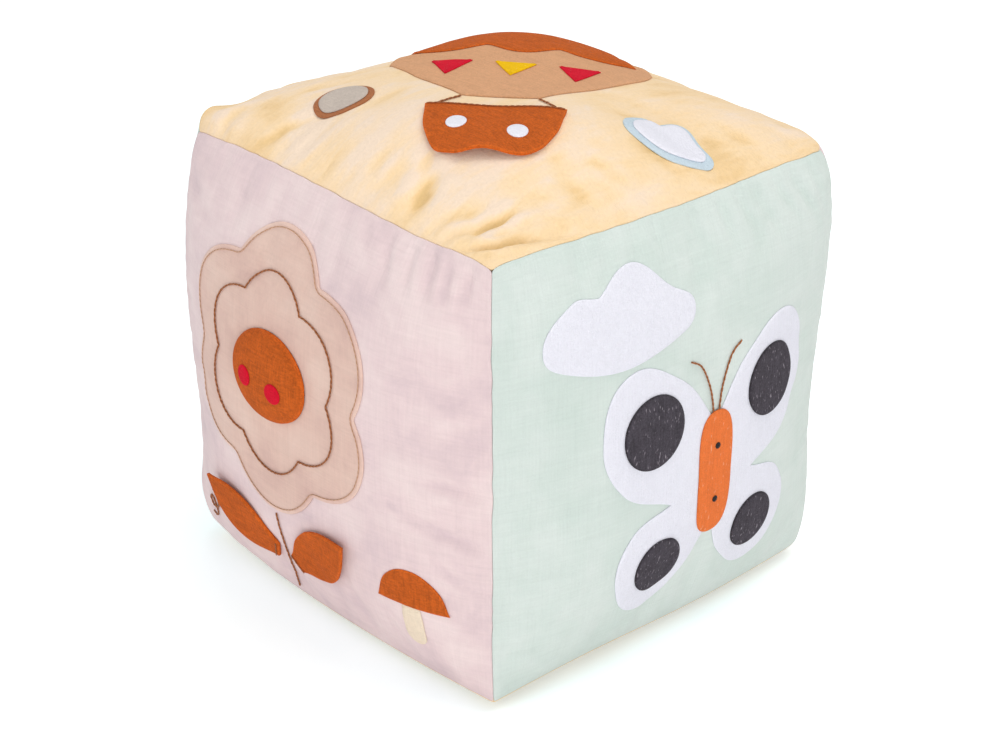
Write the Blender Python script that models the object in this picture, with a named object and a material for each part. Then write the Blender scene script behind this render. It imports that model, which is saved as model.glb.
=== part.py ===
"""A soft fabric block for a baby: six cloth panels sewn into a cube and stuffed with fibre.

Felt and cotton shapes are sewn onto the panels. Three felt flaps are sewn along one edge only,
so that a small hand can lift them. Lengths are in metres and +Z is up. The origin is at the middle
of the resting face. The front is -Y, the right side is +X.
"""

import math
from collections import namedtuple

import bmesh
import bpy
from mathutils import Matrix, Vector

# Driving sizes of the stuffed block
block_edge = 0.200
top_crown = 0.026
front_crown = 0.020
back_crown = 0.023
right_crown = 0.015
left_crown = 0.016
bottom_sag = 0.0045
rest_cut = 0.0005
corner_draw = 0.003

# Cloth, felt and thread
panel_thickness = 0.0012
seam_allowance = 0.008
felt_thickness = 0.0012
cotton_thickness = 0.0006
thread_thickness = 0.0009
clearance = 0.0003
hem_width = 0.003

# Hot-air balloon on the top, with a loose felt basket
balloon_turn = math.radians(40)
balloon_lift = 0.026
envelope_width = 0.116
envelope_height = 0.114
pennant_width = 0.018
pennant_height = 0.020
rope_drop = 0.014
basket_width = 0.058
basket_depth = 0.030
basket_dot = 0.0085
top_cloud_width = 0.038
top_cloud_height = 0.025
moon_size = 0.026
top_layer_margin = 0.0025

# Flower on the front, with two loose felt leaves
petal_reach = 0.064
flower_centre_width = 0.048
flower_centre_height = 0.040
flower_pad_height = 0.0035
flower_dot = 0.009
stem_length = 0.044
leaf_length = 0.046
leaf_width = 0.024
leaf_drop = 0.024
left_leaf_turn = math.radians(66)
right_leaf_turn = math.radians(56)
tendril_size = 0.020
toadstool_width = 0.034
toadstool_height = 0.036
toadstool_stem_width = 0.012

# Butterfly and cloud on the right side
wing_span = 0.126
wing_height = 0.118
upper_patch = 0.033
lower_patch = 0.026
body_width = 0.020
body_height = 0.058
body_dot = 0.003
antenna_height = 0.030
cloud_width = 0.080
cloud_height = 0.036
cloud_gap = 0.009

# Sailing boat on the left side
hull_width = 0.108
hull_height = 0.028
mast_height = 0.104
main_sail_width = 0.052
main_sail_height = 0.086
jib_width = 0.038
jib_height = 0.068
boat_flag_width = 0.020
boat_flag_height = 0.013
rigging_gap = 0.002

# Pear and heart on the back
pear_width = 0.082
pear_height = 0.108
pear_leaf_length = 0.034
pear_leaf_width = 0.017
pear_leaf_turn = math.radians(24)
pear_stem_length = 0.018
heart_width = 0.030
heart_height = 0.028

# Counts and shape numbers
panel_cells = 12
filling_cells = 6
edge_roundness = 4
fold_angle = math.radians(40)
petal_count = 6
petal_points = 8
curve_steps = 4
thread_steps = 4

# Sizes that follow from the ones above
block_half = block_edge / 2
centre_height = block_half + bottom_sag - rest_cut
wide_step = block_edge / panel_cells
drape_step = wide_step / 2
seam_inset = clearance / math.sqrt(2)
thread_radius = thread_thickness / 2

# Colours of the cloths and threads
colours = {
    "butter_plush": "EED6A6",
    "pink_cotton": "E6D2D2",
    "mint_cotton": "D6E3DC",
    "fibre": "F4F2EC",
    "tan_felt": "DFB08A",
    "rust_felt": "B9581F",
    "red_felt": "D5082E",
    "yellow_felt": "F6C409",
    "white_felt": "F0F0F6",
    "pale_blue_felt": "CAD8E2",
    "grey_tan_felt": "C6BBB1",
    "brown_felt": "9A6A4C",
    "charcoal_felt": "47454C",
    "orange_felt": "E68C5A",
    "cream_felt": "F0E2CC",
    "peach_cotton": "DFBFB4",
    "brown_thread": "7A4A30",
    "black_thread": "2E2A2C",
}

Side = namedtuple("Side", "name turn crown limit")
Placed = namedtuple("Placed", "side across up turn")

top = Side("top_side", (0, 0, 0), top_crown, top_crown)
bottom = Side("bottom_side", (math.pi, 0, 0), bottom_sag, bottom_sag - rest_cut)
front = Side("front_side", (math.pi / 2, 0, 0), front_crown, front_crown)
right = Side("right_side", (math.pi / 2, 0, math.pi / 2), right_crown, right_crown)
back = Side("back_side", (math.pi / 2, 0, math.pi), back_crown, back_crown)
left = Side("left_side", (math.pi / 2, 0, -math.pi / 2), left_crown, left_crown)

curved = "AUTO"
pointed = "VECTOR"
round_shares = [(1, 0, curved), (0, 1, curved), (-1, 0, curved), (0, -1, curved)]


# Scene, collection and materials
def clear_scene():
    for item in list(bpy.data.objects):
        bpy.data.objects.remove(item, do_unlink=True)


def block_collection():
    found = bpy.data.collections.get("soft_fabric_block")
    if found is None:
        found = bpy.data.collections.new("soft_fabric_block")
        bpy.context.scene.collection.children.link(found)
    return found


def linear(channel):
    if channel <= 0.04045:
        return channel / 12.92
    return ((channel + 0.055) / 1.055) ** 2.4


def cloth_material(name):
    found = bpy.data.materials.get(name)
    if found is not None:
        return found
    found = bpy.data.materials.new(name)
    found.use_nodes = True
    shader = found.node_tree.nodes["Principled BSDF"]
    written = colours[name]
    channels = [int(written[i : i + 2], 16) / 255 for i in (0, 2, 4)]
    shader.inputs["Base Color"].default_value = [linear(c) for c in channels] + [1]
    shader.inputs["Roughness"].default_value = 0.9
    shader.inputs["Metallic"].default_value = 0
    return found


# The block's surface, in the frame of a side: x across, y up, z out of the cloth
def swell(share):
    """How much of the crown is left at a share of the way from the middle to the seam."""
    return 1 - abs(share) ** edge_roundness


def swell_slope(share):
    steepness = -edge_roundness * abs(share) ** (edge_roundness - 1)
    return math.copysign(steepness, steepness * share)


def drawn_cube_point(across, up, out):
    """A point of a plain cube whose corners the stuffing has drawn in."""
    shares = Vector((across, up, out)) / out
    draw = corner_draw / block_half * (shares.x * shares.y * shares.z) ** 2
    return Vector((across, up, out)) * (1 - draw)


def crown_rise(side, share_across, share_up):
    return min(side.crown * swell(share_across) * swell(share_up), side.limit)


def cloth_point(side, across, up, rise):
    """A point above the puffed cloth, along the cloth's own normal."""
    u = across / block_half
    v = up / block_half
    base = drawn_cube_point(across, up, block_half)
    base.z += crown_rise(side, u, v)
    lean_u = side.crown * swell_slope(u) * swell(v) / block_half
    lean_v = side.crown * swell(u) * swell_slope(v) / block_half
    return base + Vector((-lean_u, -lean_v, 1)).normalized() * rise


def rise_on(*cloths):
    """The height above a panel of a piece that lies on the cloths named, one over another."""
    return clearance + sum(thickness + clearance for thickness in cloths)


# The frames that carry the pieces of each side, and the hinges of the flaps
def side_frame(side):
    found = bpy.data.objects.get(side.name)
    if found is None:
        found = bpy.data.objects.new(side.name, None)
        found.location = (0, 0, centre_height)
        found.rotation_euler = side.turn
        block_collection().objects.link(found)
    return found


def link_piece(name, mesh, material, carrier):
    data = bpy.data.meshes.new(name)
    bmesh.ops.recalc_face_normals(mesh, faces=mesh.faces)
    if mesh.calc_volume(signed=True) < 0:
        bmesh.ops.reverse_faces(mesh, faces=mesh.faces)
    mesh.to_mesh(data)
    mesh.free()
    data.shade_smooth()
    data.set_sharp_from_angle(angle=fold_angle)
    data.materials.append(cloth_material(material))
    piece = bpy.data.objects.new(name, data)
    block_collection().objects.link(piece)
    piece.parent = carrier
    return piece


def on_side(placed, x, y):
    """Turns a place in a motif's own drawing into a place on the side that carries it."""
    across = placed.across + x * math.cos(placed.turn) - y * math.sin(placed.turn)
    up = placed.up + x * math.sin(placed.turn) + y * math.cos(placed.turn)
    return across, up


def within(placed, x, y, turn=0):
    """The place of a piece that is drawn at x, y of a motif that is itself placed on a side."""
    across, up = on_side(placed, x, y)
    return Placed(placed.side, across, up, placed.turn + turn)


def hinge_frame(name, placed, rise):
    """An empty on the sewn line of a flap: its x runs along the line, and +x lifts the flap."""
    middle = cloth_point(placed.side, placed.across, placed.up, rise)
    higher = cloth_point(placed.side, placed.across, placed.up, rise + clearance)
    out = (higher - middle).normalized()
    along = Vector((-math.cos(placed.turn), -math.sin(placed.turn), 0))
    along = (along - out * along.dot(out)).normalized()
    frame = Matrix((along, out.cross(along), out)).transposed().to_4x4()
    frame.translation = middle
    hinge = bpy.data.objects.new(name, None)
    hinge.parent = side_frame(placed.side)
    hinge.matrix_local = frame
    block_collection().objects.link(hinge)
    return hinge


# Cutting cloth to an outline and laying it on the block
def cut_cloth(shares, size, thickness):
    """A flat piece of cloth, its outline given in shares of its width and height."""
    curve = bpy.data.curves.new("outline", "CURVE")
    curve.dimensions = "2D"
    curve.fill_mode = "BOTH"
    curve.extrude = thickness / 2
    curve.resolution_u = curve_steps
    spline = curve.splines.new("BEZIER")
    spline.bezier_points.add(len(shares) - 1)
    for point, (x, y, handle) in zip(spline.bezier_points, shares):
        point.co = (x * size[0], y * size[1], 0)
        point.handle_left_type = handle
        point.handle_right_type = handle
    spline.use_cyclic_u = True
    drawn = bpy.data.objects.new("outline", curve)
    block_collection().objects.link(drawn)
    evaluated = drawn.evaluated_get(bpy.context.evaluated_depsgraph_get())
    data = bpy.data.meshes.new_from_object(evaluated)
    cloth = bmesh.new()
    cloth.from_mesh(data)
    bpy.data.objects.remove(drawn)
    bpy.data.curves.remove(curve)
    bpy.data.meshes.remove(data)
    bmesh.ops.remove_doubles(cloth, verts=cloth.verts, dist=clearance / 100)
    bmesh.ops.translate(cloth, verts=cloth.verts, vec=(0, 0, thickness / 2))
    return cloth


def crease(cloth, step):
    """Adds lines across the cloth, in step with the panel's own, so that it can follow the block."""
    flat = {f for f in cloth.faces if abs(f.normal.z) > 0.5}
    inner = [e for e in cloth.edges if flat.issuperset(e.link_faces)]
    bmesh.ops.dissolve_edges(cloth, edges=inner, use_verts=False)
    for axis in (0, 1):
        low = min(v.co[axis] for v in cloth.verts)
        high = max(v.co[axis] for v in cloth.verts)
        normal = Vector((1 - axis, axis, 0))
        for line in range(math.ceil(low / step), math.floor(high / step) + 1):
            everything = cloth.verts[:] + cloth.edges[:] + cloth.faces[:]
            bmesh.ops.bisect_plane(cloth, geom=everything, plane_co=normal * line * step, plane_no=normal)


def lay(cloth, placed, rise, step, lift=None):
    """Lays flat cloth on its side: z above the drawing becomes height above the panel."""
    drawing = Matrix.Translation((placed.across, placed.up, 0)) @ Matrix.Rotation(placed.turn, 4, "Z")
    cloth.transform(drawing)
    cloth.normal_update()
    crease(cloth, step)
    back_to_drawing = drawing.inverted()
    for vertex in cloth.verts:
        x, y, z = back_to_drawing @ vertex.co
        if lift is not None:
            z = lift(x, y, z)
        vertex.co = cloth_point(placed.side, vertex.co.x, vertex.co.y, rise + z)


def sew_on(name, material, placed, shares, size, rise, thickness=felt_thickness, step=drape_step, lift=None):
    """A piece of cloth sewn flat on the block."""
    cloth = cut_cloth(shares, size, thickness)
    lay(cloth, placed, rise, step, lift)
    return link_piece(name, cloth, material, side_frame(placed.side))


def hang_flap(name, material, placed, shares, size, rise, hinge, thickness=felt_thickness):
    """A piece of felt that lies on the block and turns about its sewn edge."""
    cloth = cut_cloth(shares, size, thickness)
    lay(cloth, placed, rise, drape_step)
    cloth.transform(hinge.matrix_local.inverted())
    return link_piece(name, cloth, material, hinge)


def round_patch(name, material, placed, size, rise, thickness=felt_thickness, step=drape_step, lift=None):
    half = (size[0] / 2, size[1] / 2)
    return sew_on(name, material, placed, round_shares, half, rise, thickness, step, lift)


def smooth_path(points):
    """Points on a smooth curve through the points given."""
    path = []
    ends = [points[0]] + points + [points[-1]]
    for a, b, c, d in zip(ends, ends[1:], ends[2:], ends[3:]):
        for step in range(thread_steps):
            t = step / thread_steps
            weights = (
                (-t + 2 * t**2 - t**3) / 2,
                (2 - 5 * t**2 + 3 * t**3) / 2,
                (t + 4 * t**2 - 3 * t**3) / 2,
                (t**3 - t**2) / 2,
            )
            x = sum(w * p[0] for w, p in zip(weights, (a, b, c, d)))
            y = sum(w * p[1] for w, p in zip(weights, (a, b, c, d)))
            path.append((x, y))
    return path + [points[-1]]


def stitch_line(name, material, placed, path, rise, closed=False):
    """A raised line of embroidery thread that follows the cloth under it."""
    curve = bpy.data.curves.new(name, "CURVE")
    curve.dimensions = "3D"
    curve.bevel_depth = thread_radius
    curve.bevel_resolution = 1
    curve.use_fill_caps = not closed
    spline = curve.splines.new("POLY")
    spline.points.add(len(path) - 1)
    for point, (x, y) in zip(spline.points, path):
        across, up = on_side(placed, x, y)
        place = cloth_point(placed.side, across, up, rise + thread_radius)
        point.co = (*place, 1)
    spline.use_cyclic_u = closed
    drawn = bpy.data.objects.new("thread", curve)
    block_collection().objects.link(drawn)
    evaluated = drawn.evaluated_get(bpy.context.evaluated_depsgraph_get())
    data = bpy.data.meshes.new_from_object(evaluated)
    thread = bmesh.new()
    thread.from_mesh(data)
    bpy.data.objects.remove(drawn)
    bpy.data.curves.remove(curve)
    bpy.data.meshes.remove(data)
    bmesh.ops.remove_doubles(thread, verts=thread.verts, dist=clearance / 100)
    return link_piece(name, thread, material, side_frame(placed.side))


# Panels and stuffing
def panel(name, side, material):
    """One square of cloth, puffed out, with its seam allowances turned in along four edges."""
    cloth = bmesh.new()
    grid = bmesh.ops.create_grid(cloth, x_segments=panel_cells, y_segments=panel_cells, size=1)
    outside = set(grid["verts"])
    slab = bmesh.ops.extrude_face_region(cloth, geom=cloth.faces[:])
    inside = {v for v in slab["geom"] if isinstance(v, bmesh.types.BMVert)}
    for vertex in inside:
        vertex.co.z = -1
    walls = [f for f in cloth.faces if {v in outside for v in f.verts} == {True, False}]
    turned_in = bmesh.ops.extrude_face_region(cloth, geom=walls)
    tips = {v for v in turned_in["geom"] if isinstance(v, bmesh.types.BMVert)}
    bmesh.ops.delete(cloth, geom=[f for f in walls if f.is_valid], context="FACES_ONLY")
    mitre = panel_thickness * math.sqrt(2)
    for vertex in cloth.verts:
        share_across, share_up, layer = vertex.co
        inset = seam_inset
        depth = 0
        if layer < 0:
            inset += mitre
        if vertex in tips:
            inset += seam_allowance
            depth += seam_allowance
        elif layer < 0:
            inset += panel_thickness
            depth += panel_thickness
        reach = block_half - inset
        place = drawn_cube_point(share_across * reach, share_up * reach, block_half - depth)
        if vertex not in tips:
            place.z += crown_rise(side, share_across, share_up)
        vertex.co = place
    return link_piece(name, cloth, material, side_frame(side))


def fibre_filling():
    """The stuffing: it presses on every panel, and its edges stay clear of the turned-in seams."""
    depth = panel_thickness + clearance
    reach = block_half - seam_inset - panel_thickness * (1 + math.sqrt(2)) - clearance
    edge_reach = block_half - 2 * seam_allowance
    filling = bmesh.new()
    for side in (top, bottom, front, right, back, left):
        grid = bmesh.ops.create_grid(filling, x_segments=filling_cells, y_segments=filling_cells, size=1)
        turn = side_frame(side).rotation_euler.to_matrix()
        for vertex in grid["verts"]:
            share_across, share_up, _ = vertex.co
            border = max(abs(share_across), abs(share_up)) > 1 - 1 / filling_cells
            if border:
                place = Vector((share_across, share_up, 1)) * edge_reach
            else:
                place = drawn_cube_point(share_across * reach, share_up * reach, block_half - depth)
                place.z += crown_rise(side, share_across, share_up)
            vertex.co = turn @ place
    bmesh.ops.remove_doubles(filling, verts=filling.verts, dist=clearance)
    piece = link_piece("fibre_filling", filling, "fibre", None)
    piece.location = (0, 0, centre_height)
    return piece


# Hot-air balloon on the top
envelope_shares = [
    (-0.14, -0.50, pointed),
    (0.14, -0.50, pointed),
    (0.37, -0.20, curved),
    (0.50, 0.10, curved),
    (0.36, 0.39, curved),
    (0.00, 0.50, curved),
    (-0.36, 0.39, curved),
    (-0.50, 0.10, curved),
    (-0.37, -0.20, curved),
]
envelope_cap_shares = [
    (-0.43, 0.17, pointed),
    (-0.27, 0.11, curved),
    (-0.14, 0.18, pointed),
    (0.00, 0.09, curved),
    (0.14, 0.18, pointed),
    (0.27, 0.11, curved),
    (0.43, 0.17, pointed),
    (0.31, 0.365, curved),
    (0.00, 0.46, curved),
    (-0.31, 0.365, curved),
]
pennant_shares = [(-0.5, 0, pointed), (0, -1, pointed), (0.5, 0, pointed)]
pennant_place_shares = [
    ("red_pennant_left", "red_felt", -0.24),
    ("yellow_pennant", "yellow_felt", 0.0),
    ("red_pennant_right", "red_felt", 0.24),
]
pennant_height_share = -0.06
cloud_shares = [
    (-0.50, -0.24, curved),
    (-0.36, -0.50, curved),
    (0.34, -0.50, curved),
    (0.50, -0.22, curved),
    (0.34, 0.10, pointed),
    (0.10, 0.48, curved),
    (-0.14, 0.24, pointed),
    (-0.32, 0.26, curved),
]
basket_hem_shares = [(-0.5, 0, pointed), (-0.495, -1, pointed), (0.495, -1, pointed), (0.5, 0, pointed)]
basket_shares = [
    (-0.495, 0.00, pointed),
    (-0.45, -0.52, curved),
    (-0.30, -0.94, curved),
    (0.00, -1.00, curved),
    (0.30, -0.94, curved),
    (0.45, -0.52, curved),
    (0.495, 0.00, pointed),
]
basket_dot_shares = [("basket_dot_left", -0.24, -0.40), ("basket_dot_right", 0.20, -0.58)]
top_cloud_place_shares = (0.70, -0.28)
moon_place_shares = (-0.68, -0.20)


def balloon_place():
    middle = Placed(top, 0, 0, balloon_turn)
    return within(middle, 0, balloon_lift)


def balloon_envelope():
    size = (envelope_width, envelope_height)
    placed = balloon_place()
    sew_on("balloon_envelope", "tan_felt", placed, envelope_shares, size, rise_on(), step=wide_step)
    sew_on("balloon_cap", "rust_felt", placed, envelope_cap_shares, size, rise_on(felt_thickness))


def balloon_pennants():
    for name, felt, share in pennant_place_shares:
        placed = within(balloon_place(), share * envelope_width, pennant_height_share * envelope_height)
        size = (pennant_width, pennant_height)
        sew_on(name, felt, placed, pennant_shares, size, rise_on(felt_thickness))


def balloon_ropes():
    top_end = -envelope_height / 2 - 2 * thread_thickness
    low_end = -envelope_height / 2 - rope_drop + thread_thickness
    for name, hand in (("rope_left", -1), ("rope_right", 1)):
        upper = (hand * envelope_width * envelope_shares[1][0], top_end)
        lower = (hand * (basket_width / 2 - hem_width), low_end)
        stitch_line(name, "brown_thread", balloon_place(), smooth_path([upper, lower]), rise_on())


def basket_place():
    """The middle of the basket's sewn line, just below the hem that holds it."""
    return within(balloon_place(), 0, -envelope_height / 2 - rope_drop - hem_width - clearance / 2)


def basket_flap():
    both = 2 * felt_thickness + clearance
    hem_size = (basket_width, hem_width)
    hem_place = within(basket_place(), 0, hem_width + clearance / 2)
    sew_on("basket_hem", "rust_felt", hem_place, basket_hem_shares, hem_size, rise_on(), both)
    hinge = hinge_frame("basket_hinge", basket_place(), rise_on() + both)
    placed = within(basket_place(), 0, -clearance / 2)
    size = (basket_width, basket_depth)
    hang_flap("basket_lining", "rust_felt", placed, basket_shares, size, rise_on(), hinge)
    hang_flap("basket_front", "rust_felt", placed, basket_shares, size, rise_on(felt_thickness), hinge)
    for name, x_share, y_share in basket_dot_shares:
        spot = within(placed, x_share * basket_width, y_share * basket_depth)
        size = (basket_dot / 2, basket_dot / 2)
        rise = rise_on(felt_thickness, felt_thickness)
        hang_flap(name, "white_felt", spot, round_shares, size, rise, hinge, felt_thickness / 2)


def top_clouds():
    middle = Placed(top, 0, 0, balloon_turn)
    cloud = within(middle, top_cloud_place_shares[0] * block_half, top_cloud_place_shares[1] * block_half)
    size = (top_cloud_width, top_cloud_height)
    small = (top_cloud_width - 3 * top_layer_margin, top_cloud_height - 2 * top_layer_margin)
    sew_on("cloud_under_layer", "pale_blue_felt", cloud, cloud_shares, size, rise_on())
    sew_on("cloud_upper_layer", "white_felt", cloud, cloud_shares, small, rise_on(felt_thickness))
    moon = within(middle, moon_place_shares[0] * block_half, moon_place_shares[1] * block_half)
    inner = moon_size - 2 * top_layer_margin
    round_patch("moon_under_layer", "brown_felt", moon, (moon_size, moon_size), rise_on())
    round_patch("moon_upper_layer", "grey_tan_felt", moon, (inner, inner), rise_on(felt_thickness))


# Flower on the front
flower_place_shares = (-0.12, 0.20)
petal_dip_share = 0.16
petal_line_share = 0.70
leaf_base_share = 0.46
leaf_shares = [
    (-leaf_base_share / 2, 0.00, pointed),
    (-0.50, 0.36, curved),
    (-0.36, 0.72, curved),
    (0.05, 1.00, pointed),
    (0.46, 0.62, curved),
    (0.47, 0.28, curved),
    (leaf_base_share / 2, 0.00, pointed),
]
leaf_hem_shares = [(-0.5, 0, pointed), (0.5, 0, pointed), (0.42, -1, pointed), (-0.42, -1, pointed)]
flower_dot_shares = [("flower_dot_left", -0.20, -0.04), ("flower_dot_right", 0.20, -0.08)]
flower_pad_share = 0.80
stem_bend_shares = [(0.00, 0.00), (0.02, -0.35), (0.00, -0.70), (-0.10, -1.00)]
tendril_shares = [
    (-0.5, -0.5),
    (-0.1, -0.38),
    (0.10, -0.10),
    (0.02, 0.16),
    (-0.20, 0.14),
    (-0.20, -0.08),
    (0.08, -0.06),
    (0.32, 0.16),
    (0.30, 0.42),
    (0.10, 0.46),
]
tendril_place_shares = (-0.74, -0.72)
toadstool_place_shares = (0.66, -0.60)
toadstool_cap_shares = [
    (-0.50, 0.00, pointed),
    (-0.32, 0.36, curved),
    (0.00, 0.50, curved),
    (0.32, 0.36, curved),
    (0.50, 0.00, pointed),
]
toadstool_stem_shares = [
    (-0.36, 0.00, pointed),
    (-0.42, -0.28, curved),
    (-0.30, -0.50, curved),
    (0.30, -0.50, curved),
    (0.42, -0.28, curved),
    (0.36, 0.00, pointed),
]


def motif_place(side, shares):
    return Placed(side, shares[0] * block_half, shares[1] * block_half, 0)


def flower_place():
    return motif_place(front, flower_place_shares)


def petal_outline(share):
    """The scalloped edge of the flower, at a share of its full reach."""
    count = petal_count * petal_points
    outline = []
    for step in range(count):
        angle = 2 * math.pi * step / count + math.pi / petal_count
        dip = petal_dip_share * (1 - abs(math.sin(petal_count * angle / 2)))
        reach = share * (1 - dip)
        outline.append((reach * math.cos(angle), reach * math.sin(angle)))
    return outline


def flower_petals():
    shares = [(x, y, pointed) for x, y in petal_outline(1)]
    placed = flower_place()
    size = (petal_reach, petal_reach)
    sew_on("flower_petals", "peach_cotton", placed, shares, size, rise_on(), cotton_thickness, wide_step)
    path = [(x * petal_reach, y * petal_reach) for x, y in petal_outline(petal_line_share)]
    stitch_line("petal_stitching", "brown_thread", placed, path, rise_on(cotton_thickness), closed=True)


def flower_dome(x, y):
    """How far the padding under the flower's centre lifts the felt."""
    distance = (2 * x / flower_centre_width) ** 2 + (2 * y / flower_centre_height) ** 2
    return flower_pad_height * max(0, 1 - distance)


def flower_centre():
    placed = flower_place()
    size = (flower_centre_width, flower_centre_height)
    pad_size = (size[0] * flower_pad_share, size[1] * flower_pad_share)
    pad_rise = rise_on(cotton_thickness)

    def domed_top(x, y, z):
        return flower_dome(x, y) if z > 0 else 0

    round_patch("flower_padding", "fibre", placed, pad_size, pad_rise, felt_thickness, drape_step, domed_top)

    def domed(x, y, z):
        return z + flower_dome(x, y)

    cover_rise = pad_rise + clearance
    round_patch("flower_centre", "rust_felt", placed, size, cover_rise, felt_thickness, drape_step, domed)
    for name, x_share, y_share in flower_dot_shares:
        x_dot = x_share * flower_centre_width
        y_dot = y_share * flower_centre_height

        def domed_dot(x, y, z):
            return z + flower_dome(x + x_dot, y + y_dot)

        rise = cover_rise + felt_thickness + clearance
        spot = within(placed, x_dot, y_dot)
        size = (flower_dot, flower_dot)
        round_patch(name, "red_felt", spot, size, rise, felt_thickness / 2, drape_step, domed_dot)


def flower_stem():
    start = within(flower_place(), 0, -petal_reach - 2 * thread_thickness)
    path = [(x * stem_length, y * stem_length) for x, y in stem_bend_shares]
    stitch_line("flower_stem", "brown_thread", start, smooth_path(path), rise_on())


def flower_leaves():
    for name, hand, turn in (("left", -1, left_leaf_turn), ("right", 1, right_leaf_turn)):
        base = leaf_base_share * leaf_width
        x = hand * (base / 2 + hem_width + thread_thickness)
        root = within(flower_place(), x, -petal_reach - leaf_drop, -hand * turn)
        hem_size = (base, hem_width)
        hem_place = within(root, 0, -clearance / 2)
        sew_on(f"leaf_hem_{name}", "rust_felt", hem_place, leaf_hem_shares, hem_size, rise_on())
        upside_down = within(root, 0, 0, math.pi)
        hinge = hinge_frame(f"leaf_hinge_{name}", upside_down, rise_on() + felt_thickness)
        shares = [(-hand * x_share, y_share, handle) for x_share, y_share, handle in leaf_shares]
        leaf_size = (leaf_width, leaf_length)
        leaf_place = within(root, 0, clearance / 2)
        hang_flap(f"leaf_{name}", "rust_felt", leaf_place, shares, leaf_size, rise_on(), hinge)


def tendril():
    placed = motif_place(front, tendril_place_shares)
    path = [(x * tendril_size, y * tendril_size) for x, y in tendril_shares]
    stitch_line("tendril", "brown_thread", placed, smooth_path(path), rise_on())


def toadstool():
    placed = motif_place(front, toadstool_place_shares)
    size = (toadstool_width, toadstool_height)
    sew_on("toadstool_cap", "rust_felt", placed, toadstool_cap_shares, size, rise_on())
    stem_place = within(placed, 0, -clearance)
    stem_size = (toadstool_stem_width, toadstool_height)
    sew_on("toadstool_stem", "cream_felt", stem_place, toadstool_stem_shares, stem_size, rise_on())


# Butterfly and cloud on the right side
half_wing_shares = [
    (0.17, 0.42, curved),
    (0.40, 0.50, curved),
    (0.50, 0.30, curved),
    (0.42, 0.06, curved),
    (0.20, -0.06, pointed),
    (0.37, -0.14, curved),
    (0.41, -0.34, curved),
    (0.26, -0.50, curved),
    (0.10, -0.40, curved),
]
butterfly_place_shares = (0.10, -0.20)
body_dot_shares = [("body_dot_upper", 0.22), ("body_dot_lower", -0.22)]
antenna_shares = [(0.05, 0.05), (0.12, 0.45), (0.30, 0.85), (0.52, 1.0)]
cloud_across_share = -0.40
wing_notch_share = 0.20
wing_patch_shares = [("upper", (0.29, 0.26), upper_patch), ("lower", (0.23, -0.30), lower_patch)]


def butterfly_place():
    return motif_place(right, butterfly_place_shares)


def butterfly_wings():
    mirrored = [(-x, y, handle) for x, y, handle in reversed(half_wing_shares)]
    top_notch = [(0, wing_notch_share, pointed)]
    low_notch = [(0, -wing_notch_share, pointed)]
    shares = top_notch + half_wing_shares + low_notch + mirrored
    size = (wing_span, wing_height)
    placed = butterfly_place()
    sew_on("butterfly_wings", "white_felt", placed, shares, size, rise_on(), step=wide_step)
    for hand, side_name in ((-1, "left"), (1, "right")):
        for level, (x_share, y_share), patch in wing_patch_shares:
            spot = within(placed, hand * x_share * wing_span, y_share * wing_height)
            name = f"wing_patch_{level}_{side_name}"
            round_patch(name, "charcoal_felt", spot, (patch, patch), rise_on(felt_thickness))


def butterfly_body():
    placed = butterfly_place()
    size = (body_width, body_height)
    round_patch("butterfly_body", "orange_felt", placed, size, rise_on(felt_thickness))
    for name, share in body_dot_shares:
        spot = within(placed, 0, share * body_height)
        rise = rise_on(felt_thickness, felt_thickness)
        round_patch(name, "black_thread", spot, (body_dot, body_dot), rise, thread_thickness)


def butterfly_antennae():
    start = within(butterfly_place(), 0, wing_notch_share * wing_height + 2 * thread_thickness)
    for name, hand in (("antenna_left", -1), ("antenna_right", 1)):
        path = [(hand * x * antenna_height, y * antenna_height) for x, y in antenna_shares]
        stitch_line(name, "brown_thread", start, smooth_path(path), rise_on())


def side_cloud():
    above_wings = butterfly_place().up + (wing_height + cloud_height) / 2 + cloud_gap
    placed = Placed(right, cloud_across_share * block_half, above_wings, 0)
    sew_on("side_cloud", "white_felt", placed, cloud_shares, (cloud_width, cloud_height), rise_on())


# Sailing boat on the left side
hull_shares = [
    (-0.50, 0.50, pointed),
    (-0.34, -0.34, curved),
    (-0.22, -0.50, curved),
    (0.22, -0.50, curved),
    (0.34, -0.34, curved),
    (0.50, 0.50, pointed),
]
main_sail_shares = [(0, 0, pointed), (1, 0, pointed), (0.74, 0.46, curved), (0, 1, pointed)]
jib_shares = [(0, 0, pointed), (0, 1, pointed), (-0.62, 0.40, curved), (-1, 0, pointed)]
boat_flag_shares = [(0, -0.5, pointed), (1, 0, pointed), (0, 0.5, pointed)]
boat_place_shares = (0, -0.46)


def sailing_boat():
    placed = motif_place(left, boat_place_shares)
    hull_size = (hull_width, hull_height)
    sew_on("boat_hull", "charcoal_felt", placed, hull_shares, hull_size, rise_on(), step=wide_step)
    deck = hull_height / 2 + rigging_gap
    mast = [(0, deck), (0, deck + mast_height)]
    stitch_line("boat_mast", "brown_thread", placed, smooth_path(mast), rise_on())
    main = within(placed, rigging_gap, deck)
    main_size = (main_sail_width, main_sail_height)
    sew_on("main_sail", "white_felt", main, main_sail_shares, main_size, rise_on(), step=wide_step)
    jib = within(placed, -rigging_gap, deck)
    jib_size = (jib_width, jib_height)
    sew_on("jib_sail", "white_felt", jib, jib_shares, jib_size, rise_on(), step=wide_step)
    flag = within(placed, rigging_gap, deck + mast_height - boat_flag_height / 2)
    flag_size = (boat_flag_width, boat_flag_height)
    sew_on("boat_flag", "red_felt", flag, boat_flag_shares, flag_size, rise_on())


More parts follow.
